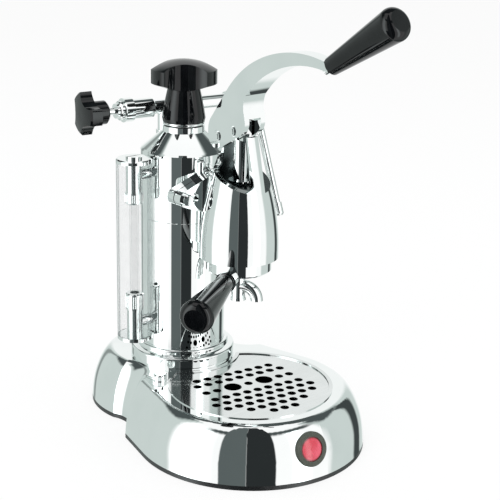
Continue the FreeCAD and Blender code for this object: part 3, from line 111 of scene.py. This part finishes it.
class Wire:
    """An output socket of a node tree, which takes part in Python sums."""

    def __init__(self, tree, output):
        self.tree = tree
        self.output = output

    def node(self, kind, settings=None, inputs=None, out=0):
        """Add a node: its settings first, then the values or wires of its sockets."""
        made = self.tree.nodes.new(kind)
        for name, value in (settings or {}).items():
            setattr(made, name, value)
        for name, value in (inputs or {}).items():
            if isinstance(value, Wire):
                self.tree.links.new(value.output, made.inputs[name])
            else:
                made.inputs[name].default_value = value
        return Wire(self.tree, made.outputs[out])

    def math(self, operation, *values):
        return self.node("ShaderNodeMath", {"operation": operation}, dict(enumerate(values)))

    def __add__(self, other):
        return self.math("ADD", self, other)

    def __sub__(self, other):
        return self.math("SUBTRACT", self, other)

    def __rsub__(self, other):
        return self.math("SUBTRACT", other, self)

    def __mul__(self, other):
        return self.math("MULTIPLY", self, other)

    __radd__ = __add__
    __rmul__ = __mul__

    def rise(self, low, high):
        """0 below low, 1 above high, and a soft step between them."""
        steps = {"Value": self, "From Min": low, "From Max": high}
        return self.node("ShaderNodeMapRange", {"interpolation_type": "SMOOTHSTEP"}, steps)

    def between(self, low, high, soft):
        """1 from low to high, with soft edges."""
        return self.rise(low - soft, low + soft) * (1 - self.rise(high - soft, high + soft))

    def tint(self, first, second):
        """A colour between two colours, with this wire as the share of the second."""
        ends = {MIX_FACTOR: self, MIX_FIRST: first, MIX_SECOND: second}
        return self.node("ShaderNodeMix", {"data_type": "RGBA"}, ends, MIX_COLOUR_OUT)

    def noise(self, size, detail=3.0, stretch=(1, 1, 1)):
        """Cloudy values from 0 to 1 with blotches about this many metres across."""
        scale = tuple(s / size for s in stretch)
        spread = self.node("ShaderNodeMapping", None, {"Vector": self, "Scale": scale})
        return self.node("ShaderNodeTexNoise", None, {"Vector": spread, "Scale": 1.0, "Detail": detail})

    def part(self, axis):
        """One of the three numbers of a place: 0 for x, 1 for y, 2 for z."""
        return self.node("ShaderNodeSeparateXYZ", None, {0: self}, axis)

    def bump(self, depth, strength=1.0):
        """A normal from this height, where 1 stands this many metres above 0."""
        inputs = {"Height": self, "Distance": depth, "Strength": strength}
        return self.node("ShaderNodeBump", None, inputs)


def colour(red, green, blue):
    """A colour with full alpha."""
    return (red, green, blue, 1.0)


finish = {}


def add_finish(slot, varies, **constants):
    """Make a slot's material: what is the same all over, then what varies over the surface."""
    material = bpy.data.materials.new(slot)
    material.use_nodes = True
    tree = material.node_tree
    shader = tree.nodes["Principled BSDF"]
    for name, value in constants.items():
        shader.inputs[name.replace("_", " ")].default_value = value
    place = Wire(tree, tree.nodes.new("ShaderNodeTexCoord").outputs["Object"])
    for name, wire in varies(place).items():
        tree.links.new(wire.output, shader.inputs[name])
    finish[slot] = material
    print("finish", slot)
    return material


# %% [markdown]
# ## Chrome
# The base, boiler, group, lever and filter holder are polished brass with chrome on top. Chrome is
# almost a mirror, so its look is what it reflects. The finish only adds what hands and cloths leave:
# a haze that is a little rougher in blotches, and wiping marks that run level round the machine.

# %% Chrome finish
CHROME_BRIGHT = colour(0.94, 0.96, 0.955)
CHROME_DULL = colour(0.90, 0.925, 0.92)


def chrome_varies(place):
    haze = place.noise(30 * MM, 4.0)
    wipes = place.noise(4 * MM, 2.0, (0.12, 0.12, 1.0))
    return {
        "Base Color": haze.rise(0.35, 0.75).tint(CHROME_BRIGHT, CHROME_DULL),
        "Roughness": 0.012 + 0.03 * haze.rise(0.45, 0.8) + 0.012 * wipes,
    }


add_finish("chrome", chrome_varies, Metallic=1.0)

# %% [markdown]
# The group is a casting. Its outside is polished and plated like the rest, but the tower's bore, which
# shows through the two windows, was never polished, so it is dull; its dark colour is painted shade, for
# the shade inside the tower. The bore narrows upwards, so a point belongs to it when its distance from
# the group's axis, plus a share of its height, stays small. The sill of the right window is as dull as the
# bore and carries the same painted shade. It is a plane that falls to the front, so a point belongs to it
# when its height over that plane is next to nothing.

# %% Casting finish
GROUP_Y = -25.4 * MM
BORE_FLOOR = 223.5 * MM
BORE_SLOPE = 0.1614
BORE_REACH = 21.2 * MM
SILL_LOW = 219.5 * MM
SILL_FRONT = 34.0 * MM
SILL_FALL = 0.4183
WEB_HALF = 5.5 * MM
# Painted shade: the dark colour given to the bore and the sill, for the shade inside the tower.
BORE_PAINTED_SHADE = colour(0.10, 0.12, 0.12)


def casting_varies(place):
    across = place.part(0)
    along = place.part(1) - GROUP_Y
    height = place.part(2) - BORE_FLOOR
    reach = across.math("SQRT", across * across + along * along) + BORE_SLOPE * height
    inside = (1 - reach.rise(BORE_REACH - 0.3 * MM, BORE_REACH + 0.3 * MM)) * height.rise(0.0, 0.2 * MM)
    over = place.part(2) - SILL_LOW - SILL_FALL * (along + SILL_FRONT)
    level = 1 - over.math("ABSOLUTE", over).rise(0.2 * MM, 0.5 * MM)
    sill = level * across.rise(WEB_HALF, WEB_HALF + 0.2 * MM)
    inside = inside.math("MAXIMUM", inside, sill)
    polished = chrome_varies(place)
    grain = place.noise(0.9 * MM, 3.0)
    return {
        # The bore and the sill get the painted shade; their extra roughness and grain are their real
        # dullness.
        "Base Color": inside.tint(polished["Base Color"], BORE_PAINTED_SHADE),
        "Roughness": polished["Roughness"] + inside * (0.2 + 0.15 * grain),
        "Normal": (inside * grain).bump(0.12 * MM, 0.6),
    }


add_finish("casting", casting_varies, Metallic=1.0)

# %% [markdown]
# ## Polished and painted steel
# The drip grille and the small inner steel pieces are stainless: as bright as chrome but with a grain,
# which is noise stretched along one direction. The drip tray is bright at its rim, and its basin below
# carries painted shade, a dark colour for the shade under the grille, so the holes of the grille look
# black.
# The plate under the base is painted black, with the faint orange peel of sprayed paint.

# %% Steel finishes
STEEL_PALE = colour(0.84, 0.86, 0.855)
STEEL_DARK = colour(0.72, 0.745, 0.74)
PAINT_BLACK = colour(0.008, 0.009, 0.010)
PAINT_WORN = colour(0.022, 0.023, 0.024)
# Painted shade: the dark colour given to the basin under the grille, where little light falls.
TRAY_PAINTED_SHADE = colour(0.02, 0.022, 0.022)
TRAY_STEP = 46.6 * MM


def steel_varies(place):
    grain = place.noise(0.6 * MM, 3.0, (0.02, 1.0, 1.0))
    cloud = place.noise(20 * MM, 3.0)
    return {
        "Base Color": (0.6 * grain + 0.4 * cloud).rise(0.3, 0.75).tint(STEEL_PALE, STEEL_DARK),
        "Roughness": 0.055 + 0.05 * grain + 0.03 * cloud,
    }


def paint_varies(place):
    peel = place.noise(1.2 * MM, 2.0)
    worn = place.noise(12 * MM, 5.0)
    return {
        "Base Color": worn.rise(0.5, 0.8).tint(PAINT_BLACK, PAINT_WORN),
        "Roughness": 0.3 + 0.18 * worn,
        "Normal": peel.bump(0.08 * MM, 0.5),
    }


def tray_varies(place):
    """Bright at the rim, with painted shade on the basin below it, which is also rougher."""
    bright = steel_varies(place)
    # The basin below the rim's step gets the painted shade.
    basin = 1 - place.part(2).rise(TRAY_STEP - 0.4 * MM, TRAY_STEP)
    return {
        "Base Color": basin.tint(bright["Base Color"], TRAY_PAINTED_SHADE),
        "Roughness": bright["Roughness"] + 0.4 * basin,
    }


add_finish("steel", steel_varies, Metallic=1.0)
add_finish("tray", tray_varies, Metallic=1.0)
add_finish("black_steel", paint_varies, Coat_Weight=0.3, Coat_Roughness=0.2)

# %% [markdown]
# ## Brass, rubber and moulded plastics
# Brass shows on the inner fittings and darkens in patches as it ages. Rubber is dull with a dusty
# bloom. The cap, the steam knob and the two handles are glossy black phenolic: a hard resin with a clear
# skin over a body that is not quite even. The switch parts are plainer plastics with a fine mould grain.

# %% Brass and rubber finishes
BRASS_FRESH = colour(0.80, 0.60, 0.27)
BRASS_AGED = colour(0.46, 0.31, 0.12)
RUBBER_BODY = colour(0.012, 0.012, 0.013)
RUBBER_BLOOM = colour(0.045, 0.045, 0.046)


def brass_varies(place):
    patches = place.noise(9 * MM, 5.0)
    turned = place.noise(0.5 * MM, 2.0, (0.1, 0.1, 1.0))
    return {
        "Base Color": patches.rise(0.4, 0.75).tint(BRASS_FRESH, BRASS_AGED),
        "Roughness": 0.16 + 0.2 * patches + 0.06 * turned,
        "Normal": turned.bump(0.02 * MM, 0.4),
    }


def rubber_varies(place):
    bloom = place.noise(6 * MM, 6.0)
    grain = place.noise(0.4 * MM, 2.0)
    return {
        "Base Color": bloom.rise(0.45, 0.8).tint(RUBBER_BODY, RUBBER_BLOOM),
        "Roughness": 0.62 + 0.25 * bloom,
        "Normal": grain.bump(0.06 * MM, 0.6),
    }


add_finish("brass", brass_varies, Metallic=1.0)
add_finish("rubber", rubber_varies)

# %% Plastic finishes
PHENOLIC_BODY = colour(0.0020, 0.0024, 0.0030)
PHENOLIC_CLOUD = colour(0.0050, 0.0056, 0.0066)
MATTE_BODY = colour(0.018, 0.018, 0.019)
MATTE_SCUFF = colour(0.05, 0.05, 0.052)
BEZEL_BODY = colour(0.075, 0.083, 0.068)
BEZEL_RUBBED = colour(0.115, 0.122, 0.104)


def phenolic_varies(place):
    cloud = place.noise(12 * MM, 5.0)
    fingers = place.noise(22 * MM, 3.0)
    return {
        "Base Color": cloud.rise(0.4, 0.7).tint(PHENOLIC_BODY, PHENOLIC_CLOUD),
        "Roughness": 0.05 + 0.06 * fingers.rise(0.4, 0.8),
        "Normal": place.noise(6 * MM, 2.0).bump(0.02 * MM, 0.25),
    }


def matte_varies(place):
    scuff = place.noise(8 * MM, 6.0)
    grain = place.noise(0.5 * MM, 2.0)
    return {
        "Base Color": scuff.rise(0.5, 0.85).tint(MATTE_BODY, MATTE_SCUFF),
        "Roughness": 0.42 + 0.2 * scuff,
        "Normal": grain.bump(0.05 * MM, 0.6),
    }


def bezel_varies(place):
    rubbed = place.noise(6 * MM, 5.0)
    grain = place.noise(0.6 * MM, 2.0)
    return {
        "Base Color": rubbed.rise(0.4, 0.8).tint(BEZEL_BODY, BEZEL_RUBBED),
        "Roughness": 0.36 + 0.18 * rubbed,
        "Normal": grain.bump(0.06 * MM, 0.6),
    }


add_finish("black_plastic", phenolic_varies, Specular_IOR_Level=0.45)
add_finish("matte_plastic", matte_varies)
add_finish("grey_plastic", bezel_varies, Specular_IOR_Level=0.2)

# %% [markdown]
# ## Lens, glass and clear tube
# The switch's lens is red plastic with a lamp behind it. Its red is painted paler in soft blotches, a
# painted glow of that lamp, and a thin dark line of painted shade at its rim shows the depth of the
# plastic.
# The sight glass and the tube round it have thin clear walls, which hardly bend what is behind them and
# show only where they are seen edge on. So their alpha rises towards the rim, by Layer Weight, and rays
# go straight through the rest, which keeps the fittings inside as crisp as they are outside.

# %% Clear finishes
LENS_DEEP = colour(0.62, 0.022, 0.052)
# Painted glow: the paler red stands for the lamp shining through the lens.
LENS_PAINTED_GLOW = colour(0.82, 0.095, 0.155)
# Painted shade: the dark line at the lens's rim.
LENS_RIM_SHADE = colour(0.22, 0.006, 0.014)
LENS_RADIUS = 10.1 * MM
LENS_MIDDLE = Vector((-15.24, -140.24, 29.72)) * MM
GLASS_RIM = colour(0.32, 0.38, 0.38)
FACING = 1
DISTANCE_OUT = 1


def lens_varies(place):
    glow = place.noise(11 * MM, 2.0)
    facets = place.node("ShaderNodeTexVoronoi", None, {"Vector": place, "Scale": 700.0})
    ends = {0: place, 1: LENS_MIDDLE}
    reach = place.node("ShaderNodeVectorMath", {"operation": "DISTANCE"}, ends, DISTANCE_OUT)
    # Where the rim's thin line of painted shade goes.
    edge = reach.rise(LENS_RADIUS - 1.4 * MM, LENS_RADIUS - 0.9 * MM)
    return {
        "Base Color": edge.tint(glow.rise(0.3, 0.75).tint(LENS_DEEP, LENS_PAINTED_GLOW), LENS_RIM_SHADE),
        "Roughness": 0.1 + 0.08 * glow,
        "Normal": facets.bump(0.1 * MM, 0.12),
    }


def glass_varies(place):
    film = place.noise(10 * MM, 4.0)
    rim = place.node("ShaderNodeLayerWeight", None, {"Blend": 0.5}, FACING)
    return {
        "Roughness": 0.02 + 0.05 * film.rise(0.5, 0.85),
        "Alpha": 0.03 + 0.04 * film + 0.75 * rim.rise(0.5, 0.97),
    }


add_finish("red_lens", lens_varies, Coat_Weight=0.6, Coat_Roughness=0.04)
add_finish("glass", glass_varies, Base_Color=GLASS_RIM, IOR=1.47)
add_finish("clear_plastic", glass_varies, Base_Color=GLASS_RIM, IOR=1.49)

# %% [markdown]
# ## Dress the nodes
# Each node's row in the record names its slot, and the slot's finish goes on. The group's casting and the
# drip tray have a finish of their own within their slot.

# %% Dress the nodes
slot_of = {row["node"]: row["material_slot"] for row in frame["record"]["subparts"]}
own_finish = {"group_body": "casting", "drip_tray": "tray"}
for name, node in frame["nodes"].items():
    for held in node.material_slots:
        held.material = finish[own_finish.get(name, slot_of[name])]
print("dressed", len(slot_of), "nodes in", len(finish), "finishes")

# %% [markdown]
# ## The lever's eased edges
# The lever is a thick bent plate. On the real one each edge is eased by polishing, and that thin rounded
# line catches light and dark all along the curve, which tells the eye where the side ends and the inner
# face begins. The solid has sharp edges, so a merged copy of its mesh gets a Bevel, and weighted normals
# keep the wide faces flat.

# %% Lever arm
EASE = 0.9 * MM


def merged_copy(node, name):
    """A copy of a node's mesh with its loose triangles joined into faces."""
    joined = bmesh.new()
    joined.from_mesh(frame["nodes"][node].data)
    bmesh.ops.remove_doubles(joined, verts=joined.verts, dist=0.002 * MM)
    flat = math.radians(0.05)
    bmesh.ops.dissolve_limit(joined, angle_limit=flat, verts=joined.verts, edges=joined.edges)
    mesh = bpy.data.meshes.new(name)
    joined.to_mesh(mesh)
    joined.free()
    mesh.materials.append(finish[slot_of[node]])
    for face in mesh.polygons:
        face.use_smooth = True
    piece = bpy.data.objects.new(name, mesh)
    scene.collection.objects.link(piece)
    return piece


lever = merged_copy("lever_arm", "lever_eased")
bevel = lever.modifiers.new("eased_edges", "BEVEL")
bevel.width = EASE
bevel.segments = 3
bevel.limit_method = "ANGLE"
bevel.angle_limit = math.radians(35.0)
even = lever.modifiers.new("flat_faces", "WEIGHTED_NORMAL")
even.weight = 100
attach(lever, "lever")
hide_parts("lever_arm")
print("lever eased by", EASE / MM, "mm")

# %% [markdown]
# ## Flutes for fingers
# The thumbscrew on the deck and the round nuts of the sight glass and the steam valve are turned by hand,
# so fine ridges run along their sides. One geometry tree makes a ring of ridges: a circle gives the
# points, a slim bar is set on each of them, and named inputs say how many, how far out and how long.
# What the tree makes is kept as a plain mesh and moved to its nut.

# %% Geometry trees
def new_tree(name, sizes):
    """A geometry tree with these named inputs, and a wire for each of them."""
    tree = bpy.data.node_groups.new(name, "GeometryNodeTree")
    for size, kind in sizes.items():
        tree.interface.new_socket(size, in_out="INPUT", socket_type=kind)
    tree.interface.new_socket("Geometry", in_out="OUTPUT", socket_type="NodeSocketGeometry")
    start = tree.nodes.new("NodeGroupInput")
    return tree, {size: Wire(tree, start.outputs[size]) for size in sizes}


def close_tree(tree, shape, material):
    """Make the instances real, give them their material and hand them out."""
    real = shape.node("GeometryNodeRealizeInstances", None, {"Geometry": shape})
    dressed = real.node("GeometryNodeSetMaterial", None, {"Geometry": real, "Material": material})
    end = tree.nodes.new("NodeGroupOutput")
    tree.links.new(dressed.output, end.inputs["Geometry"])
    return tree


def grow(name, tree, sizes):
    """Run a geometry tree with these sizes and keep what it makes as a plain mesh."""
    piece = bpy.data.objects.new(name, bpy.data.meshes.new(name + "_start"))
    scene.collection.objects.link(piece)
    maker = piece.modifiers.new("grow", "NODES")
    maker.node_group = tree
    for socket in tree.interface.items_tree:
        if socket.in_out == "INPUT":
            maker[socket.identifier] = sizes[socket.name]
    made = piece.evaluated_get(bpy.context.evaluated_depsgraph_get())
    mesh = bpy.data.meshes.new_from_object(made)
    piece.modifiers.remove(maker)
    piece.data = mesh
    return piece


def ridge_tree(material):
    """A ring of slim round ridges that stand along z."""
    length = "NodeSocketFloat"
    kinds = {"Count": "NodeSocketInt", "Radius": length, "Ridge": length, "Length": length}
    tree, size = new_tree("ring_of_ridges", kinds)
    count = size["Count"]
    circle = count.node("GeometryNodeMeshCircle", None, {"Vertices": count, "Radius": size["Radius"]})
    bar = {"Vertices": 8, "Radius": size["Ridge"], "Depth": size["Length"]}
    ridge = count.node("GeometryNodeMeshCylinder", None, bar)
    ring = count.node("GeometryNodeInstanceOnPoints", None, {"Points": circle, "Instance": ridge})
    return close_tree(tree, ring, material)


# %% Fluted nuts and thumbscrew
RIDGE = 0.32 * MM
RIDGE_STEP = 5.0 * RIDGE
DECK_FLUTE_DROP = 3.0 * MM
DECK_FLUTE_LENGTH = 3.6 * MM
LOWER_FLUTE_RISE = 7.5 * MM
LOWER_FLUTE_LENGTH = 11.0 * MM
UPPER_FLUTE_DROP = 5.2 * MM
UPPER_FLUTE_LENGTH = 7.0 * MM
WAND_FLUTE_LENGTH = 5.4 * MM
VALVE_YAW = math.radians(-8.4)
UP = Vector((0.0, 0.0, 1.0))
ridges = ridge_tree(finish["chrome"])


def flute(name, place, axis, radius, length):
    """Ridges round a nut, as many as fit at their step along its rim."""
    count = round(math.tau * radius / RIDGE_STEP)
    ring = grow(name, ridges, {"Count": count, "Radius": radius, "Ridge": RIDGE, "Length": length})
    ring.data.transform(Matrix.Translation(place) @ axis.to_track_quat("Z", "Y").to_matrix().to_4x4())
    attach(ring, "machine")
    print(name, "has", count, "ridges")


def node_box(node):
    """Lowest corner, highest corner and middle of a node."""
    low, high = (Vector(corner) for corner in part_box(node))
    return low, high, (low + high) / 2


low, high, deck = node_box("deck_screw")
deck.z = high.z - DECK_FLUTE_DROP
flute("deck_screw_flutes", deck, UP, (high.x - low.x) / 2, DECK_FLUTE_LENGTH)

low, high, glass = node_box("sight_nuts")
glass.z = low.z + LOWER_FLUTE_RISE
flute("lower_nut_flutes", glass, UP, (high.x - low.x) / 2, LOWER_FLUTE_LENGTH)
glass.z = high.z - UPPER_FLUTE_DROP
flute("upper_nut_flutes", glass, UP, (high.x - low.x) / 2, UPPER_FLUTE_LENGTH)

low, high, wand = node_box("wand_nut")
valve_axis = Vector((math.cos(VALVE_YAW), math.sin(VALVE_YAW), 0.0))
flute("wand_nut_flutes", wand, valve_axis, (high.z - low.z) / 2, WAND_FLUTE_LENGTH)

# %% [markdown]
# ## The cap's thread
# The cap screws into the boiler's neck. The solid has a plain plug there, which just fits the bore. For
# the picture a merged copy of it is thinned to the core of the thread, and a second tree winds the
# thread on: a spiral is the path, and a small ring is swept along it.

# %% Threaded plug
PLUG_RADIUS = 12.4 * MM
CORE_RADIUS = 11.6 * MM
THREAD_RIDGE = 0.45 * MM
THREAD_PITCH = 2.0 * MM
THREAD_TURNS = 7
BOILER_Y = 52.0 * MM


def thread_tree(material):
    """A thread that winds up along z from the origin."""
    length = "NodeSocketFloat"
    tree, size = new_tree("thread", {"Turns": length, "Radius": length, "Height": length, "Ridge": length})
    radius = size["Radius"]
    spiral = {
        "Resolution": 48,
        "Rotations": size["Turns"],
        "Start Radius": radius,
        "End Radius": radius,
        "Height": size["Height"],
    }
    path = radius.node("GeometryNodeCurveSpiral", None, spiral)
    ring = radius.node("GeometryNodeCurvePrimitiveCircle", None, {"Resolution": 6, "Radius": size["Ridge"]})
    swept = {"Curve": path, "Profile Curve": ring, "Fill Caps": True}
    return close_tree(tree, radius.node("GeometryNodeCurveToMesh", None, swept), material)


plug = merged_copy("cap_plug", "cap_plug_core")
for corner in plug.data.vertices:
    out = Vector((corner.co.x, corner.co.y - BOILER_Y, 0.0))
    if abs(out.length - PLUG_RADIUS) < 0.05 * MM:
        corner.co -= out * (1 - CORE_RADIUS / PLUG_RADIUS)
wound = {
    "Turns": THREAD_TURNS,
    "Radius": PLUG_RADIUS - THREAD_RIDGE,
    "Height": THREAD_TURNS * THREAD_PITCH,
    "Ridge": THREAD_RIDGE,
}
thread = grow("cap_thread", thread_tree(finish[slot_of["cap_plug"]]), wound)
plug_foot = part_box("cap_plug")[0][2]
thread.data.transform(Matrix.Translation((0.0, BOILER_Y, plug_foot + THREAD_PITCH)))
for piece in (plug, thread):
    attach(piece, "cap")
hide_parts("cap_plug")
print("thread of", THREAD_TURNS, "turns on the cap's plug")

# %% [markdown]
# ## The studio
# A chrome object is lit by what it mirrors. The photograph's studio had white panels left and right of
# the camera, a dark gap for the camera between them, half of it grey and half black, and pale grey walls
# further round. The world shader paints those by direction, for the rays that mirrors send out, while
# the camera sees plain white. The floor takes the soft shadow and stays out of the mirrors, because the
# real table ended just past the machine and the chrome mirrors what was beyond it.
#
# Directions are in degrees: turn goes to the right from the camera, lift goes up, and away is turn without
# its sign. A stretch of the room is given by its two ends and their softness, and a step by where it
# starts and where it is full.

# %% What stands where in the room
WHITE = colour(1.0, 1.0, 1.0)
PANEL = colour(1.04, 1.04, 1.04)
PANEL_TURN = (-84.0, 86.0, 4.0)
PANEL_CORE = colour(2.6, 2.8, 2.8)
LEFT_CORE_TURN = (-74.0, -46.0, 12.0)
RIGHT_CORE_TURN = (46.0, 60.0, 5.0)
CORE_LIFT = (-45.0, 45.0, 10.0)
PALE_WALL = colour(0.60, 0.665, 0.645)
BACK_WALL = colour(0.93, 0.95, 0.945)
BACK_WALL_STEP = (152.0, 164.0)
EDGE_DARK = colour(0.05, 0.06, 0.06)
RIGHT_EDGE_TURN = (126.0, 143.0, 3.0)
LEFT_EDGE_TURN = (-150.0, -140.0, 3.0)
LEFT_EDGE_SHARE = 0.6
EDGE_TOP_STEP = (30.0, 40.0)
HIGH_DARK = colour(0.07, 0.085, 0.085)
HIGH_SIDE_AWAY = (95.0, 150.0, 8.0)
HIGH_SIDE_LIFT = (34.0, 58.0, 4.0)
HIGH_BACK_STEP = (112.0, 124.0)
HIGH_BACK_LIFT_STEP = (41.0, 47.0)
HIGH_FRONT_TURN = (-55.0, 86.0, 12.0)
HIGH_FRONT_LIFT = (41.0, 52.0, 3.0)
CEILING_STEP = (58.0, 63.0)
GAP_GREY = colour(0.105, 0.125, 0.125)
GAP_GREY_TURN = (-29.0, -2.5, 0.8)
GAP_BLACK = colour(0.024, 0.028, 0.029)
GAP_BLACK_TURN = (-2.5, 26.0, 0.8)
GAP_TOP_STEP = (82.0, 84.0)
UNDER_TURN = (-52.0, -20.0, 4.0)
UNDER_TOP_STEP = (-24.0, -21.5)
AMBIENT = 0.8

# %% The direction of a mirrored ray
world = bpy.data.worlds.new("studio")
scene.world = world
world.use_nodes = True
studio = world.node_tree
direction = Wire(studio, studio.nodes.new("ShaderNodeTexCoord").outputs["Generated"])


def along(axis):
    """How far the mirrored direction goes along an axis."""
    return direction.node("ShaderNodeVectorMath", {"operation": "DOT_PRODUCT"}, {0: direction, 1: axis}, 1)


camera_side = Vector((view_back.x, view_back.y, 0.0)).normalized()
turn = along(level_right).math("ARCTAN2", along(level_right), along(camera_side)) * math.degrees(1.0)
lift = along(level_right).math("ARCSINE", along(UP)) * math.degrees(1.0)
away = turn.math("ABSOLUTE", turn)

# %% Paint the room
room = away.rise(*BACK_WALL_STEP).tint(PALE_WALL, BACK_WALL)
room = turn.between(*PANEL_TURN).tint(room, PANEL)
cores = turn.between(*LEFT_CORE_TURN) + turn.between(*RIGHT_CORE_TURN)
room = (cores * lift.between(*CORE_LIFT)).tint(room, PANEL_CORE)
edges = turn.between(*RIGHT_EDGE_TURN) + LEFT_EDGE_SHARE * turn.between(*LEFT_EDGE_TURN)
room = (edges * (1 - lift.rise(*EDGE_TOP_STEP))).tint(room, EDGE_DARK)
high_sides = away.between(*HIGH_SIDE_AWAY) * lift.between(*HIGH_SIDE_LIFT)
room = high_sides.tint(room, HIGH_DARK)
room = lift.rise(*CEILING_STEP).tint(room, PANEL)
high_back = away.rise(*HIGH_BACK_STEP) * lift.rise(*HIGH_BACK_LIFT_STEP)
room = high_back.tint(room, HIGH_DARK)
high_front = turn.between(*HIGH_FRONT_TURN) * lift.between(*HIGH_FRONT_LIFT)
room = high_front.tint(room, HIGH_DARK)
under = turn.between(*UNDER_TURN) * (1 - lift.rise(*UNDER_TOP_STEP))
room = under.tint(room, GAP_BLACK)
low_gap = 1 - lift.rise(*GAP_TOP_STEP)
room = (turn.between(*GAP_GREY_TURN) * low_gap).tint(room, GAP_GREY)
room = (turn.between(*GAP_BLACK_TURN) * low_gap).tint(room, GAP_BLACK)
print("room painted")

# %% Light the world with it
rays = studio.nodes.new("ShaderNodeLightPath")
mirrored = Wire(studio, rays.outputs["Glossy Depth"]).rise(0.0, 1.0)
seen = Wire(studio, rays.outputs["Is Camera Ray"])
through = Wire(studio, rays.outputs["Is Transmission Ray"])
light = mirrored.tint(WHITE, room)
shown = (mirrored + seen + through).rise(0.0, 1.0)
backdrop = studio.nodes["Background"]
studio.links.new(light.output, backdrop.inputs["Color"])
studio.links.new((AMBIENT + (1 - AMBIENT) * shown).output, backdrop.inputs["Strength"])
print("world: white for the camera, panels for the mirrors")

# %% Floor
FLOOR_HALF = 4.0
FLOOR_SHADOW = 0.16
FLOOR_WHITE = colour(0.93, 0.935, 0.935)


def floor_material(shadow_share):
    """White for the camera and for glass, with this share of real shading for the shadow."""
    material = bpy.data.materials.new("white_floor")
    material.use_nodes = True
    tree = material.node_tree
    shader = tree.nodes["Principled BSDF"]
    shader.inputs["Base Color"].default_value = FLOOR_WHITE
    shader.inputs["Roughness"].default_value = 0.9
    path = tree.nodes.new("ShaderNodeLightPath")
    looks = Wire(tree, path.outputs["Is Camera Ray"]) + Wire(tree, path.outputs["Is Glossy Ray"])
    looks = looks + Wire(tree, path.outputs["Is Transmission Ray"])
    plain = looks.node("ShaderNodeEmission", None, {"Color": WHITE, "Strength": 1.0})
    shaded = Wire(tree, shader.outputs["BSDF"])
    share = looks.rise(0.0, 1.0) * (1 - shadow_share)
    mixed = looks.node("ShaderNodeMixShader", None, {0: share, 1: shaded, 2: plain})
    tree.links.new(mixed.output, tree.nodes["Material Output"].inputs["Surface"])
    return material


floor_mesh = bpy.data.meshes.new("floor")
floor_corners = [(x * FLOOR_HALF, y * FLOOR_HALF, 0.0) for x, y in ((-1, -1), (1, -1), (1, 1), (-1, 1))]
floor_mesh.from_pydata(floor_corners, [], [range(4)])
floor_mesh.materials.append(floor_material(FLOOR_SHADOW))
floor = bpy.data.objects.new("floor", floor_mesh)
scene.collection.objects.link(floor)
floor.visible_glossy = False
print("floor laid")

# %% Lamps
LAMP_AIM = Vector((0.0, 0.0, 0.15))
LAMPS = {
    "lamp_left": ((-1.6, -0.5, 1.3), 1.2, 8.0),
    "lamp_front": ((0.9, -1.6, 1.1), 1.2, 5.0),
    "lamp_top": ((0.1, 0.3, 1.9), 1.4, 9.0),
}


def add_lamp(name, place, size, power):
    """A soft lamp that faces the machine and doesn't show in its mirrors."""
    data = bpy.data.lights.new(name, "AREA")
    data.size = size
    data.energy = power
    lamp = bpy.data.objects.new(name, data)
    scene.collection.objects.link(lamp)
    aim = LAMP_AIM - Vector(place)
    lamp.matrix_world = Matrix.Translation(place) @ aim.to_track_quat("-Z", "Y").to_matrix().to_4x4()
    lamp.visible_glossy = False
    lamp.visible_camera = False


for lamp_name, (lamp_place, lamp_size, lamp_power) in LAMPS.items():
    add_lamp(lamp_name, lamp_place, lamp_size, lamp_power)
scene.view_settings.view_transform = "Standard"
print("studio ready with", len(LAMPS), "lamps")
